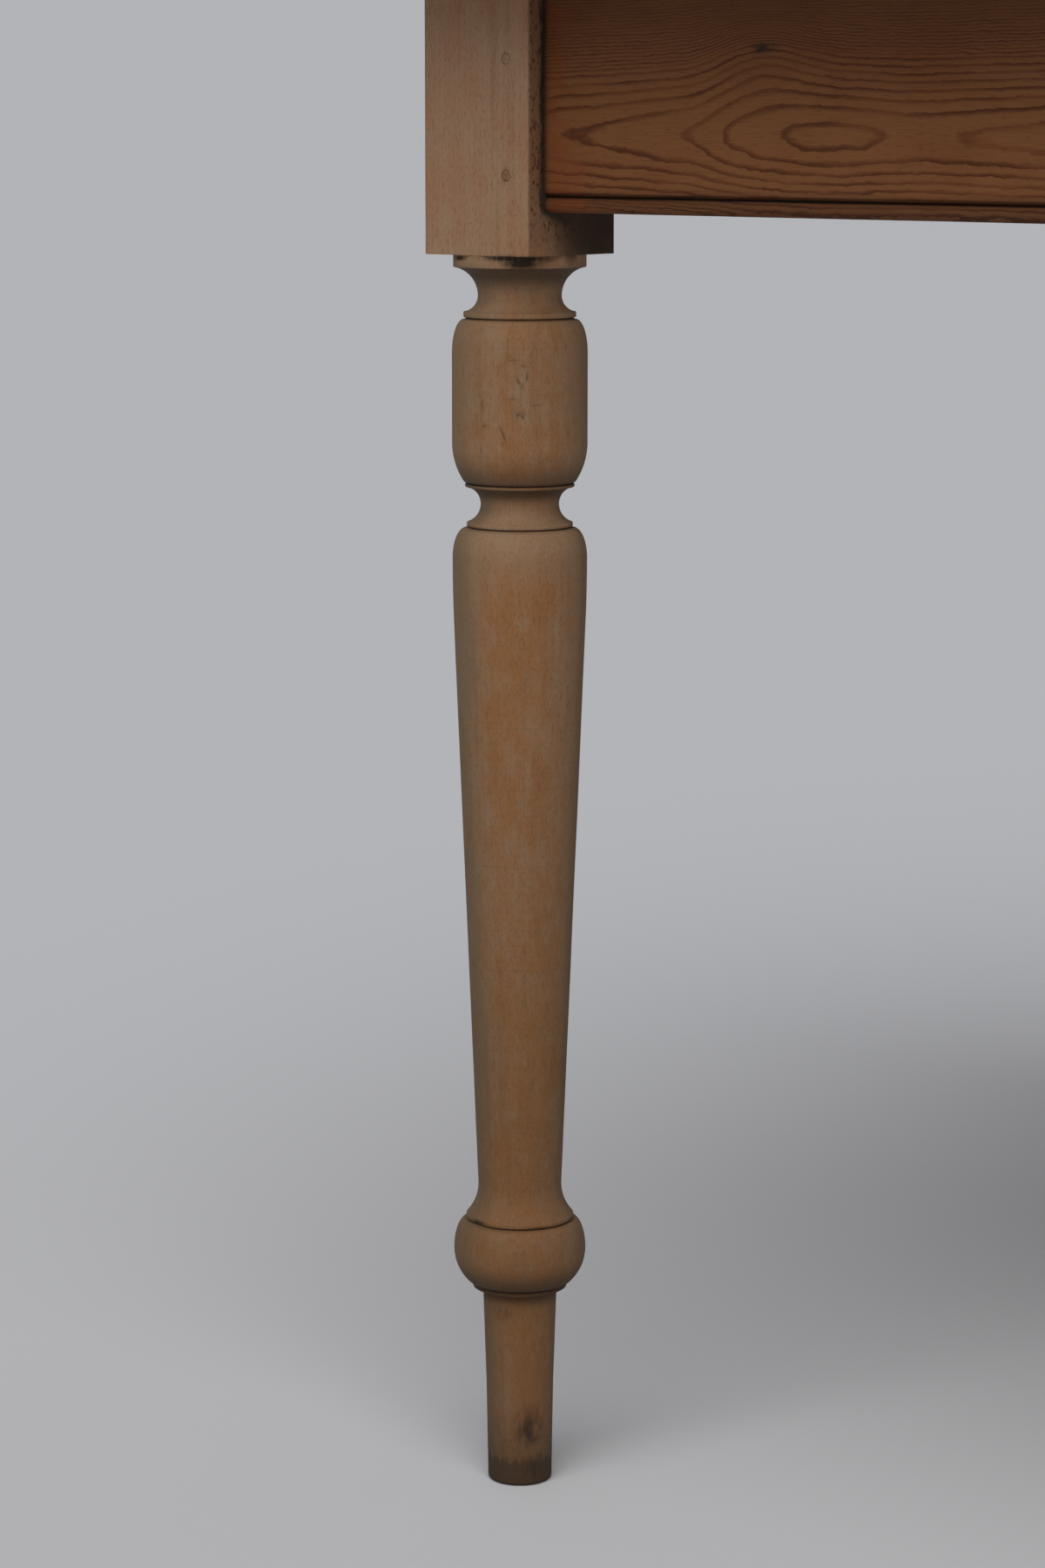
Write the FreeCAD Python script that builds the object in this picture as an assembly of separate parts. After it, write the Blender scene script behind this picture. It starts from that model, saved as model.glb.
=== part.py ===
"""Farmhouse kitchen table: turned legs, beaded rails, a planked top and a drawer in each end.

Millimetres, +Z up. X runs along the table and Y across it, and the origin is on the floor under the
middle of the top. Left and right are the ends at -X and +X, front and back the sides at -Y and +Y.
Pieces are drawn at the right end or the back side, and mirrored to their other places.
"""
import FreeCAD
import Part
import math
import os
from FreeCAD import Vector

# Whole table
TABLE_LENGTH = 1525.0
TABLE_WIDTH = 840.0
TABLE_HEIGHT = 762.0

# Planked top: the last board takes what the others leave of the width
TOP_THICKNESS = 22.0
TOP_BOARD_WIDTHS = (208.0, 196.0, 190.0)
TOP_ARRIS_ROUND = 3.0
TONGUE_LENGTH = 6.0
TONGUE_THICKNESS = 6.0
END_OVERHANG = 90.0
SIDE_OVERHANG = 60.0

# Legs: a square block over a turning
LEG_SQUARE = 63.5
BLOCK_DROP = 20.0

# Turned members of a leg from the floor up: lengths along the leg, and radii
TOE_RADIUS = 15.7
TOE_CHAMFER = 1.2
FOOT_LENGTH = 98.3
FOOT_TOP_RADIUS = 18.1
FOOT_HOLLOW = 0.4
NECK_RING_LENGTH = 2.0
NECK_RING_RADIUS = 23.0
BALL_FOOT_RADIUS = 25.0
BALL_RISE = 16.3
BALL_RADIUS = 32.2
BALL_FALL = 14.6
BALL_TOP_RADIUS = 26.4
COLLAR_RADIUS = 26.2
COLLAR_LENGTH = 1.7
ANKLE_RISE = 15.1
ANKLE_RADIUS = 20.3
TAPER_EASE = 0.4
TAPER_EASE_LENGTH = 26.0
TAPER_RADIUS = 32.1
TAPER_SHOULDER_LENGTH = 14.0
TAPER_TOP_RADIUS = 25.9
RING_LENGTH = 1.7
RING_RADIUS = 25.3
LOWER_COVE_FALL = 8.7
LOWER_COVE_RADIUS = 18.7
LOWER_COVE_RISE = 8.3
LOWER_FILLET_RADIUS = 26.1
LOWER_FILLET_LENGTH = 1.3
BARREL_END_RADIUS = 26.6
BARREL_FOOT_LENGTH = 18.6
BARREL_RADIUS = 32.2
BARREL_LENGTH = 76.7
BARREL_HEAD_LENGTH = 16.0
UPPER_FILLET_RADIUS = 26.7
UPPER_FILLET_LENGTH = 2.5
UPPER_COVE_FALL = 7.5
UPPER_COVE_RADIUS = 19.9
UPPER_COVE_RISE = 13.4
DISC_INSET = 0.25
DISC_LENGTH = 6.0
QUIRK_WIDTH = 1.0
QUIRK_DEPTH = 1.3

# Rails, and the quirk and bead along the foot of each
RAIL_DEPTH = 120.0
RAIL_THICKNESS = 22.0
RAIL_SETBACK = 11.0
BEAD_WIDTH = 7.2
BEAD_QUIRK_WIDTH = 2.0
BEAD_QUIRK_DEPTH = 4.0

# Joints between rails, legs and bearer
FIT = 0.1
SIDE_TENON_THICKNESS = 8.0
SIDE_TENON_END_WALL = 25.5
SIDE_TENON_FOOT_SHOULDER = 6.0
SIDE_TENON_HEAD_SHOULDER = 25.0
HAUNCH_LENGTH = 10.0
END_RAIL_HEIGHT = 24.0
END_RAIL_BACKSET = 7.5
END_TENON_THICKNESS = 10.0
END_TENON_SHOULDER = 4.0
END_TENON_PARTING = 5.0
TOP_RAIL_THICKNESS = 16.0
DOVETAIL_LENGTH = 26.0
DOVETAIL_SHOULDER = 9.0
DOVETAIL_SLOPE = 1.0 / 6.0
PEG_RADIUS = 2.5
PEG_INSET = 13.3
PEG_PAST_TENON = 3.0
PEG_FROM_RAIL_FOOT = 17.0
PEG_SPACING = 53.0
BEARER_THICKNESS = 30.0
BEARER_DEPTH = 40.0
BEARER_TENON_LENGTH = 10.0
BEARER_TENON_SHOULDER = 5.0

# What the drawers run on
RUNNER_HEIGHT = 20.0
RUNNER_LIP = 3.5
RUNNER_TENON_LENGTH = 10.0
RUNNER_TENON_HEIGHT = 10.0
GUIDE_HEIGHT = 30.0
STOP_LENGTH = 50.0
STOP_WIDTH = 14.0
STOP_HEIGHT = 6.0
STOP_SPACING = 360.0

# Drawers
DRAWER_BACK_SPACE = 146.5
DRAWER_SIDE_GAP = 1.0
DRAWER_FOOT_GAP = 1.0
DRAWER_HEAD_GAP = 1.0
DRAWER_STOP_GAP = 0.3
DRAWER_FRONT_THICKNESS = 20.0
DRAWER_WALL = 12.0
DRAWER_SIDE_DROP = 1.0
DRAWER_BACK_DROP = 4.0
BOTTOM_THICKNESS = 6.0
BOTTOM_RAISE = 9.0
BOTTOM_GROOVE_DEPTH = 6.0
FRONT_LAP = 6.0
TAIL_COUNT = 3
TAIL_PIN_WIDTH = 8.0
TAIL_SLOPE = 1.0 / 7.0

# Turned drawer knobs
KNOB_SPACING = 300.0
KNOB_SPIGOT_RADIUS = 7.0
KNOB_FOOT_RADIUS = 13.0
KNOB_FOOT_LENGTH = 2.5
KNOB_WAIST_FALL = 5.0
KNOB_WAIST_RADIUS = 8.5
KNOB_WAIST_RISE = 8.0
KNOB_NECK_RADIUS = 15.0
KNOB_HEAD_RISE = 5.0
KNOB_RADIUS = 19.0
KNOB_HEAD_FALL = 5.5
KNOB_FACE_RADIUS = 14.0
KNOB_DOME = 2.0

# Screws and nails
SCREW_RADIUS = 2.0
SCREW_HEAD_RADIUS = 4.0
SCREW_HEAD_LENGTH = 3.0
SCREW_COVER = 8.0
KICKER_SCREWS = 3
RUNNER_SCREWS = 4
NAIL_RADIUS = 1.2
GUIDE_NAIL_HOLD = 12.0
BOTTOM_NAILS = 4
BOTTOM_NAIL_HOLD = 18.0

# Places that the sizes above fix
TOP_UNDER = TABLE_HEIGHT - TOP_THICKNESS
RAIL_FOOT = TOP_UNDER - RAIL_DEPTH
SHOULDER = RAIL_FOOT - BLOCK_DROP
LEG_OUT_X = TABLE_LENGTH / 2 - END_OVERHANG
LEG_OUT_Y = TABLE_WIDTH / 2 - SIDE_OVERHANG
LEG_IN_X = LEG_OUT_X - LEG_SQUARE
LEG_IN_Y = LEG_OUT_Y - LEG_SQUARE
RAIL_OUT_Y = LEG_OUT_Y - RAIL_SETBACK
RAIL_IN_Y = RAIL_OUT_Y - RAIL_THICKNESS
END_RAIL_OUT_X = LEG_OUT_X - RAIL_SETBACK
END_RAIL_IN_X = LEG_IN_X + END_RAIL_BACKSET
END_RAIL_X = (END_RAIL_OUT_X + END_RAIL_IN_X) / 2
SIDE_TENON_OUT_Y = RAIL_OUT_Y - (RAIL_THICKNESS - SIDE_TENON_THICKNESS) / 2
SIDE_TENON_IN_Y = SIDE_TENON_OUT_Y - SIDE_TENON_THICKNESS
SIDE_TENON_END_X = LEG_OUT_X - SIDE_TENON_END_WALL
END_TENON_END_Y = SIDE_TENON_IN_Y - END_TENON_PARTING
DRAWER_FLOOR = RAIL_FOOT + END_RAIL_HEIGHT
DRAWER_CEILING = TOP_UNDER - TOP_RAIL_THICKNESS
DRAWER_OUT_Y = LEG_IN_Y - DRAWER_SIDE_GAP
DRAWER_IN_Y = DRAWER_OUT_Y - DRAWER_WALL
FRONT_IN_X = END_RAIL_OUT_X - DRAWER_FRONT_THICKNESS
FRONT_LOW = DRAWER_FLOOR + DRAWER_FOOT_GAP
FRONT_HIGH = DRAWER_CEILING - DRAWER_HEAD_GAP
SIDE_HIGH = FRONT_HIGH - DRAWER_SIDE_DROP
BACK_OUT_X = BEARER_THICKNESS / 2 + DRAWER_BACK_SPACE
BACK_IN_X = BACK_OUT_X + DRAWER_WALL
BACK_HIGH = SIDE_HIGH - DRAWER_BACK_DROP
BOTTOM_LOW = DRAWER_FLOOR + BOTTOM_RAISE
BOTTOM_HIGH = BOTTOM_LOW + BOTTOM_THICKNESS
KNOB_Z = (FRONT_LOW + FRONT_HIGH) / 2
RUNNER_IN_Y = DRAWER_IN_Y - RUNNER_LIP
GUIDE_Y = (LEG_IN_Y + RAIL_IN_Y) / 2
SCREW_TIP_Z = TABLE_HEIGHT - SCREW_COVER

UP = Vector(0, 0, 1)
ALONG = Vector(1, 0, 0)
ACROSS = Vector(0, 1, 0)
ENDS = {"left": -1, "right": 1}
SIDES = {"front": -1, "back": 1}


def box(x, y, z):
    """A box between the low and high value given for each axis."""
    size = [high - low for low, high in (x, y, z)]
    return Part.makeBox(*size, Vector(x[0], y[0], z[0]))


def prism(corners, travel):
    """The closed outline through these corners, drawn out along travel."""
    return Part.Face(Part.makePolygon([*corners, corners[0]])).extrude(travel)


def mirrored(shape, end=1, side=1):
    """The shape moved to the end and the side of the table with these signs."""
    if end < 0:
        shape = shape.mirror(Vector(), ALONG)
    if side < 0:
        shape = shape.mirror(Vector(), ACROSS)
    return shape


def with_mirror(half, end=1, side=1):
    """A half joined to its mirror image, for a piece that runs right along or right across."""
    return half.fuse(mirrored(half, end, side)).removeSplitter()


def on_both_sides(shapes):
    """These shapes and their mirror images on the other side."""
    return [mirrored(shape, side=side) for shape in shapes for side in SIDES.values()]


def grown(low, high, room):
    """A span widened by room at both ends."""
    return low - room, high + room


def evenly(low, high, count):
    """The middles of count equal parts of a span."""
    step = (high - low) / count
    return [low + step * (place + 0.5) for place in range(count)]


def round_to(edge, belly):
    """Middle of the arc between edge and belly that runs along the axis at belly."""
    reach = belly[0] - edge[0]
    rise = edge[1] - belly[1]
    radius = (reach ** 2 + rise ** 2) / (2 * abs(reach))
    centre = belly[0] - math.copysign(radius, reach)
    turn = math.atan2(rise, radius - abs(reach)) / 2
    return centre + math.copysign(radius * math.cos(turn), reach), belly[1] + radius * math.sin(turn)


def bowed(start, end, bow):
    """Middle of a shallow arc from start to end that stands out by bow from its chord."""
    run = end[0] - start[0]
    rise = end[1] - start[1]
    share = bow / math.hypot(run, rise)
    return start[0] + run / 2 + rise * share, start[1] + rise / 2 - run * share


class Turning:
    """Half outline of a turned piece, in radius and height, drawn from its foot upwards."""

    def __init__(self, radius, height):
        self.foot = height
        self.here = (0.0, height)
        self.edges = []
        self.to(radius, height)

    def point(self, place):
        return Vector(place[0], 0, place[1])

    def to(self, radius, height):
        """A straight run."""
        place = (radius, height)
        self.edges.append(Part.makeLine(self.point(self.here), self.point(place)))
        self.here = place

    def curve(self, middle, end):
        """An arc through middle."""
        arc = Part.Arc(self.point(self.here), self.point(middle), self.point(end))
        self.edges.append(arc.toShape())
        self.here = end

    def swell(self, radius, height):
        """An arc to a belly or a waist."""
        self.curve(round_to(self.here, (radius, height)), (radius, height))

    def fall(self, radius, height):
        """An arc away from a belly or a waist."""
        self.curve(round_to((radius, height), self.here), (radius, height))

    def thumb(self, radius, height):
        """Two arcs along a quarter of an ellipse, away from a belly and square to the axis at their end."""
        belly, start = self.here
        places = []
        for step in range(1, 5):
            turn = step * math.pi / 8
            places.append((radius + (belly - radius) * math.cos(turn), start + (height - start) * math.sin(turn)))
        self.curve(places[0], places[1])
        self.curve(places[2], places[3])

    def quirk(self, radius):
        """A cut between two members, up to the radius where the next one starts."""
        start, height = self.here
        self.to(min(start, radius) - QUIRK_DEPTH, height + QUIRK_WIDTH / 2)
        self.to(radius, height + QUIRK_WIDTH)

    def dome(self, rise):
        """A cap of a ball, up to the axis."""
        radius, height = self.here
        ball = (radius ** 2 + rise ** 2) / (2 * rise)
        turn = math.asin(radius / ball) / 2
        middle = (ball * math.sin(turn), height + rise - ball * (1 - math.cos(turn)))
        self.curve(middle, (0.0, height + rise))

    def solid(self):
        """The outline closed on the axis and turned about it."""
        if self.here[0] > 0:
            self.to(0.0, self.here[1])
        self.to(0.0, self.foot)
        return Part.Face(Part.Wire(self.edges)).revolve(Vector(), UP, 360)


# Joints, each drawn once as the tenon, tail or peg, and once with room round it as its hole


def side_tenon(room=0.0):
    """Tenon and haunch on the right end of the back rail."""
    y = grown(SIDE_TENON_IN_Y, SIDE_TENON_OUT_Y, room)
    foot = RAIL_FOOT + SIDE_TENON_FOOT_SHOULDER - room
    head = TOP_UNDER - SIDE_TENON_HEAD_SHOULDER + room
    tenon = box((LEG_IN_X, SIDE_TENON_END_X + room), y, (foot, head))
    haunch = box((LEG_IN_X, LEG_IN_X + HAUNCH_LENGTH + room), y, (foot, TOP_UNDER))
    return tenon.fuse(haunch)


def end_tenons(room=0.0):
    """Twin tenons on the back end of the right bottom rail."""
    y = (LEG_IN_Y, END_TENON_END_Y + room)
    z = grown(RAIL_FOOT + END_TENON_SHOULDER, DRAWER_FLOOR - END_TENON_SHOULDER, room)
    half = END_TENON_THICKNESS / 2
    middles = (END_RAIL_X - END_TENON_THICKNESS, END_RAIL_X + END_TENON_THICKNESS)
    return [box(grown(middle - half, middle + half, room), y, z) for middle in middles]


def top_rail_tail(room=0.0):
    """Dovetail on the back end of the right top rail."""
    root = (END_RAIL_OUT_X - END_RAIL_IN_X) / 2 - DOVETAIL_SHOULDER + room
    end = root + DOVETAIL_LENGTH * DOVETAIL_SLOPE
    tip = LEG_IN_Y + DOVETAIL_LENGTH + room
    low = DRAWER_CEILING - room
    corners = [(-root, LEG_IN_Y), (root, LEG_IN_Y), (end, tip), (-end, tip)]
    return prism([Vector(END_RAIL_X + x, y, low) for x, y in corners], UP * (TOP_UNDER - low))


def bearer_tenon(room=0.0):
    """Stub tenon on the back end of the centre bearer."""
    half = BEARER_THICKNESS / 2 - BEARER_TENON_SHOULDER
    foot = TOP_UNDER - BEARER_DEPTH + BEARER_TENON_SHOULDER
    head = TOP_UNDER - BEARER_TENON_SHOULDER
    y = (RAIL_IN_Y, RAIL_IN_Y + BEARER_TENON_LENGTH + room)
    return box(grown(-half, half, room), y, grown(foot, head, room))


def runner_tenon(room=0.0):
    """Stub tenon on the right end of the back runner."""
    middle = DRAWER_FLOOR - RUNNER_HEIGHT / 2
    half = RUNNER_TENON_HEIGHT / 2
    x = (END_RAIL_IN_X, END_RAIL_IN_X + RUNNER_TENON_LENGTH + room)
    y = grown(RUNNER_IN_Y, LEG_IN_Y - FIT, room)
    return box(x, y, grown(middle - half, middle + half, room))


def side_pegs(room=0.0):
    """Pegs through the tenon at the right end of the back rail."""
    length = LEG_OUT_Y - SIDE_TENON_IN_Y + PEG_PAST_TENON
    low = RAIL_FOOT + PEG_FROM_RAIL_FOOT
    starts = [Vector(LEG_IN_X + PEG_INSET, LEG_OUT_Y, z) for z in (low, low + PEG_SPACING)]
    return [Part.makeCylinder(PEG_RADIUS + room, length + room, start, -ACROSS) for start in starts]


def end_peg(room=0.0):
    """Peg through the twin tenons at the back end of the right bottom rail."""
    start = Vector(LEG_OUT_X, LEG_IN_Y + PEG_INSET, RAIL_FOOT + END_RAIL_HEIGHT / 2)
    inner_tenon_in = END_RAIL_X - END_TENON_THICKNESS - END_TENON_THICKNESS / 2
    length = LEG_OUT_X - inner_tenon_in + PEG_PAST_TENON
    return Part.makeCylinder(PEG_RADIUS + room, length + room, start, -ALONG)


# Screws and nails, drawn the same way


def screw(head, tip, room):
    """A countersunk screw from the face of its head to its tip."""
    axis = tip - head
    length = axis.Length + room
    radius = SCREW_RADIUS + room
    shank = Part.makeCylinder(radius, length, head, axis)
    cone = Part.makeCone(SCREW_HEAD_RADIUS + room, radius, SCREW_HEAD_LENGTH, head, axis)
    return shank.fuse(cone).removeSplitter()


def top_screw(x, y, head, room):
    """A screw up into the top, from the height of its head."""
    return screw(Vector(x, y, head), Vector(x, y, SCREW_TIP_Z), room)


def board_edges():
    """Both long edges of the top, and the joints between its boards, from front to back."""
    edges = [-TABLE_WIDTH / 2]
    for width in TOP_BOARD_WIDTHS:
        edges.append(edges[-1] + width)
    return [*edges, TABLE_WIDTH / 2]


def board_middles(reach):
    """The middle of each board's stretch over a rail that reaches this far to both sides."""
    edges = board_edges()
    spans = [(max(low, -reach), min(high, reach)) for low, high in zip(edges, edges[1:])]
    return [(low + high) / 2 for low, high in spans if high - low > 2 * SCREW_HEAD_RADIUS]


def kicker_screws(room=0.0):
    """Screws up through the right kicker on the back rail."""
    places = evenly(BEARER_THICKNESS / 2, LEG_IN_X, KICKER_SCREWS)
    return [top_screw(x, GUIDE_Y, DRAWER_CEILING, room) for x in places]


def top_rail_screws(room=0.0):
    """Screws up through the right top rail, one in each board."""
    return [top_screw(END_RAIL_X, y, DRAWER_CEILING, room) for y in board_middles(LEG_IN_Y)]


def bearer_screws(room=0.0):
    """Screws up through the centre bearer, one in each board."""
    return [top_screw(0, y, TOP_UNDER - BEARER_DEPTH, room) for y in board_middles(RAIL_IN_Y)]


def top_screws(room=0.0):
    """Every screw that holds the top."""
    at_end = on_both_sides(kicker_screws(room)) + top_rail_screws(room)
    return [mirrored(one, end) for one in at_end for end in ENDS.values()] + bearer_screws(room)


def runner_screw_places():
    """Where the screws stand along a runner."""
    return evenly(-LEG_IN_X, LEG_IN_X, RUNNER_SCREWS)


def runner_screws(room=0.0):
    """Screws through the back runner into its rail."""
    z = DRAWER_FLOOR - RUNNER_HEIGHT / 2
    tip = RAIL_OUT_Y - SCREW_COVER
    return [screw(Vector(x, RUNNER_IN_Y, z), Vector(x, tip, z), room) for x in runner_screw_places()]


def guide_nails(room=0.0):
    """Nails through the back guide into its runner, between the runner's screws."""
    screws = runner_screw_places()
    places = [(left + right) / 2 for left, right in zip(screws, screws[1:])]
    head = DRAWER_FLOOR + GUIDE_HEIGHT
    length = GUIDE_HEIGHT + GUIDE_NAIL_HOLD + room
    radius = NAIL_RADIUS + room
    return [Part.makeCylinder(radius, length, Vector(x, GUIDE_Y, head), -UP) for x in places]


def bottom_nails(room=0.0):
    """Nails up through the right drawer's bottom into the lower edge of its back."""
    x = (BACK_OUT_X + BACK_IN_X) / 2
    foot = BOTTOM_LOW + FIT
    length = BOTTOM_HIGH - foot + BOTTOM_NAIL_HOLD + room
    radius = NAIL_RADIUS + room
    places = evenly(-DRAWER_IN_Y, DRAWER_IN_Y, BOTTOM_NAILS)
    return [Part.makeCylinder(radius, length, Vector(x, y, foot), UP) for y in places]


# Frame


def leg_turning():
    """The turned part of a leg, about the Z axis."""
    ball_foot = FOOT_LENGTH + NECK_RING_LENGTH + QUIRK_WIDTH
    ball_belly = ball_foot + BALL_RISE
    collar_foot = ball_belly + BALL_FALL + QUIRK_WIDTH
    collar_head = collar_foot + COLLAR_LENGTH
    disc_foot = SHOULDER - DISC_LENGTH
    upper_waist = disc_foot - UPPER_COVE_RISE
    upper_fillet_head = upper_waist - UPPER_COVE_FALL
    barrel_head = upper_fillet_head - UPPER_FILLET_LENGTH - QUIRK_WIDTH
    barrel_foot = barrel_head - BARREL_LENGTH
    lower_fillet_foot = barrel_foot - QUIRK_WIDTH - LOWER_FILLET_LENGTH
    lower_waist = lower_fillet_foot - LOWER_COVE_RISE
    ring_head = lower_waist - LOWER_COVE_FALL
    taper_head = ring_head - RING_LENGTH - QUIRK_WIDTH
    taper_belly = taper_head - TAPER_SHOULDER_LENGTH

    leg = Turning(TOE_RADIUS - TOE_CHAMFER, 0.0)
    leg.to(TOE_RADIUS, TOE_CHAMFER)
    foot_top = (FOOT_TOP_RADIUS, FOOT_LENGTH)
    leg.curve(bowed(leg.here, foot_top, -FOOT_HOLLOW), foot_top)
    leg.to(NECK_RING_RADIUS, FOOT_LENGTH)
    leg.to(NECK_RING_RADIUS, FOOT_LENGTH + NECK_RING_LENGTH)
    leg.quirk(BALL_FOOT_RADIUS)
    leg.swell(BALL_RADIUS, ball_belly)
    leg.thumb(BALL_TOP_RADIUS, ball_belly + BALL_FALL)
    leg.quirk(COLLAR_RADIUS)
    leg.to(COLLAR_RADIUS, collar_head)
    leg.swell(ANKLE_RADIUS, collar_head + ANKLE_RISE)
    leg.to(TAPER_RADIUS - TAPER_EASE, taper_belly - TAPER_EASE_LENGTH)
    leg.swell(TAPER_RADIUS, taper_belly)
    leg.thumb(TAPER_TOP_RADIUS, taper_head)
    leg.quirk(RING_RADIUS)
    leg.to(RING_RADIUS, ring_head)
    leg.swell(LOWER_COVE_RADIUS, lower_waist)
    leg.fall(LOWER_FILLET_RADIUS, lower_fillet_foot)
    leg.to(LOWER_FILLET_RADIUS, lower_fillet_foot + LOWER_FILLET_LENGTH)
    leg.quirk(BARREL_END_RADIUS)
    leg.swell(BARREL_RADIUS, barrel_foot + BARREL_FOOT_LENGTH)
    leg.to(BARREL_RADIUS, barrel_head - BARREL_HEAD_LENGTH)
    leg.thumb(BARREL_END_RADIUS, barrel_head)
    leg.quirk(UPPER_FILLET_RADIUS)
    leg.to(UPPER_FILLET_RADIUS, upper_fillet_head)
    leg.swell(UPPER_COVE_RADIUS, upper_waist)
    leg.fall(LEG_SQUARE / 2 - DISC_INSET, disc_foot)
    leg.to(LEG_SQUARE / 2 - DISC_INSET, SHOULDER)
    return leg.solid()


def leg():
    """The back right leg, with mortises for its rails and holes for its pegs."""
    block = box((LEG_IN_X, LEG_OUT_X), (LEG_IN_Y, LEG_OUT_Y), (SHOULDER, TOP_UNDER))
    turning = leg_turning()
    turning.translate(Vector(LEG_OUT_X - LEG_SQUARE / 2, LEG_OUT_Y - LEG_SQUARE / 2, 0))
    mortises = [side_tenon(FIT), *end_tenons(FIT), top_rail_tail(FIT)]
    return block.fuse(turning).removeSplitter().cut([*mortises, *side_pegs(FIT), end_peg(FIT)])


def beaded_section(out, back, foot, head):
    """Section of a rail in the plane of Y and Z, with a quirk and bead along the foot of its outer face."""
    bead = BEAD_WIDTH / 2
    quirk_low = foot + BEAD_WIDTH
    face = [(out, head), (out, quirk_low + BEAD_QUIRK_WIDTH)]
    quirk = [(out - BEAD_QUIRK_DEPTH, quirk_low), (out - bead, quirk_low)]
    corners = [Vector(0, y, z) for y, z in [(out - bead, foot), (back, foot), (back, head), *face, *quirk]]
    nose = Part.Arc(corners[-1], Vector(0, out, foot + bead), corners[0])
    sides = [Part.makeLine(start, end) for start, end in zip(corners, corners[1:])]
    return Part.Face(Part.Wire([*sides, nose.toShape()]))


def side_rail():
    """The back rail: a bead, a haunched tenon on each end, and a mortise for the centre bearer."""
    section = beaded_section(RAIL_OUT_Y, RAIL_IN_Y, RAIL_FOOT, TOP_UNDER)
    half = section.extrude(ALONG * LEG_IN_X).fuse(side_tenon()).cut(side_pegs(FIT))
    return with_mirror(half, end=-1).cut([bearer_tenon(FIT), *runner_screws(FIT)])


def end_bottom_rail():
    """The right rail under the drawer: a bead, twin tenons, and mortises for the runners."""
    section = beaded_section(END_RAIL_OUT_X, END_RAIL_IN_X, RAIL_FOOT, DRAWER_FLOOR)
    section.rotate(Vector(), UP, -90)
    half = section.extrude(ACROSS * LEG_IN_Y).fuse(end_tenons())
    return with_mirror(half.cut([end_peg(FIT), runner_tenon(FIT)]), side=-1)


def end_top_rail():
    """The right rail over the drawer, with a dovetail on each end."""
    half = box((END_RAIL_IN_X, END_RAIL_OUT_X), (0, LEG_IN_Y), (DRAWER_CEILING, TOP_UNDER))
    return with_mirror(half.fuse(top_rail_tail()), side=-1).cut(top_rail_screws(FIT))


def centre_bearer():
    """Bearer under the middle of the top, tenoned into both side rails."""
    thick = BEARER_THICKNESS / 2
    half = box((-thick, thick), (0, RAIL_IN_Y), (TOP_UNDER - BEARER_DEPTH, TOP_UNDER))
    return with_mirror(half.fuse(bearer_tenon()), side=-1).cut(bearer_screws(FIT))


def kicker():
    """Right strip on the back rail that keeps a drawer from tipping, and holds the top."""
    x = (BEARER_THICKNESS / 2, LEG_IN_X)
    strip = box(x, (DRAWER_IN_Y, RAIL_IN_Y), (DRAWER_CEILING, TOP_UNDER))
    return strip.cut(kicker_screws(FIT))


def runner():
    """Strip along the back rail that both drawers slide on, notched round the legs."""
    z = (DRAWER_FLOOR - RUNNER_HEIGHT, DRAWER_FLOOR)
    strip = box((0, LEG_IN_X), (RUNNER_IN_Y, RAIL_IN_Y), z)
    nose = box((LEG_IN_X, END_RAIL_IN_X), (RUNNER_IN_Y, LEG_IN_Y - FIT), z)
    whole = with_mirror(strip.fuse([nose, runner_tenon()]), end=-1)
    return whole.cut([*runner_screws(FIT), *guide_nails(FIT)])


def guide():
    """Strip on the back runner, level with the legs' inner faces, that keeps drawers straight."""
    z = (DRAWER_FLOOR, DRAWER_FLOOR + GUIDE_HEIGHT)
    return box((-LEG_IN_X, LEG_IN_X), (LEG_IN_Y, RAIL_IN_Y), z).cut(guide_nails(FIT))


def drawer_stop():
    """Block glued on the back half of the right bottom rail, which the drawer's front shuts against."""
    out = FRONT_IN_X - DRAWER_STOP_GAP
    middle = STOP_SPACING / 2
    y = (middle - STOP_LENGTH / 2, middle + STOP_LENGTH / 2)
    return box((out - STOP_WIDTH, out), y, (DRAWER_FLOOR, DRAWER_FLOOR + STOP_HEIGHT))


# Top


def tongue(edge, room=0.0):
    """Tongue on the joint between two boards."""
    middle = TABLE_HEIGHT - TOP_THICKNESS / 2
    half = TONGUE_THICKNESS / 2
    x = (-TABLE_LENGTH / 2, TABLE_LENGTH / 2)
    return box(x, (edge, edge + TONGUE_LENGTH + room), grown(middle - half, middle + half, room))


def rim_edges(board):
    """A board's edges that lie on the rim of the top."""
    found = []
    for edge in board.Edges:
        middle = edge.CenterOfMass
        at_end = math.isclose(abs(middle.x), TABLE_LENGTH / 2)
        at_side = math.isclose(abs(middle.y), TABLE_WIDTH / 2)
        on_face = math.isclose(middle.z, TABLE_HEIGHT) or math.isclose(middle.z, TOP_UNDER)
        if (at_end or at_side) and on_face or at_end and at_side:
            found.append(edge)
    return found


def top_boards():
    """The boards of the top from front to back, tongued and grooved together."""
    edges = board_edges()
    boards = []
    for low, high in zip(edges, edges[1:]):
        board = box((-TABLE_LENGTH / 2, TABLE_LENGTH / 2), (low, high), (TOP_UNDER, TABLE_HEIGHT))
        board = board.makeFillet(TOP_ARRIS_ROUND, rim_edges(board))
        if low > edges[0]:
            board = board.cut(tongue(low, FIT))
        if high < edges[-1]:
            board = board.fuse(tongue(high)).removeSplitter()
        boards.append(board.cut(top_screws(FIT)))
    return boards


# Right drawer


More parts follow.
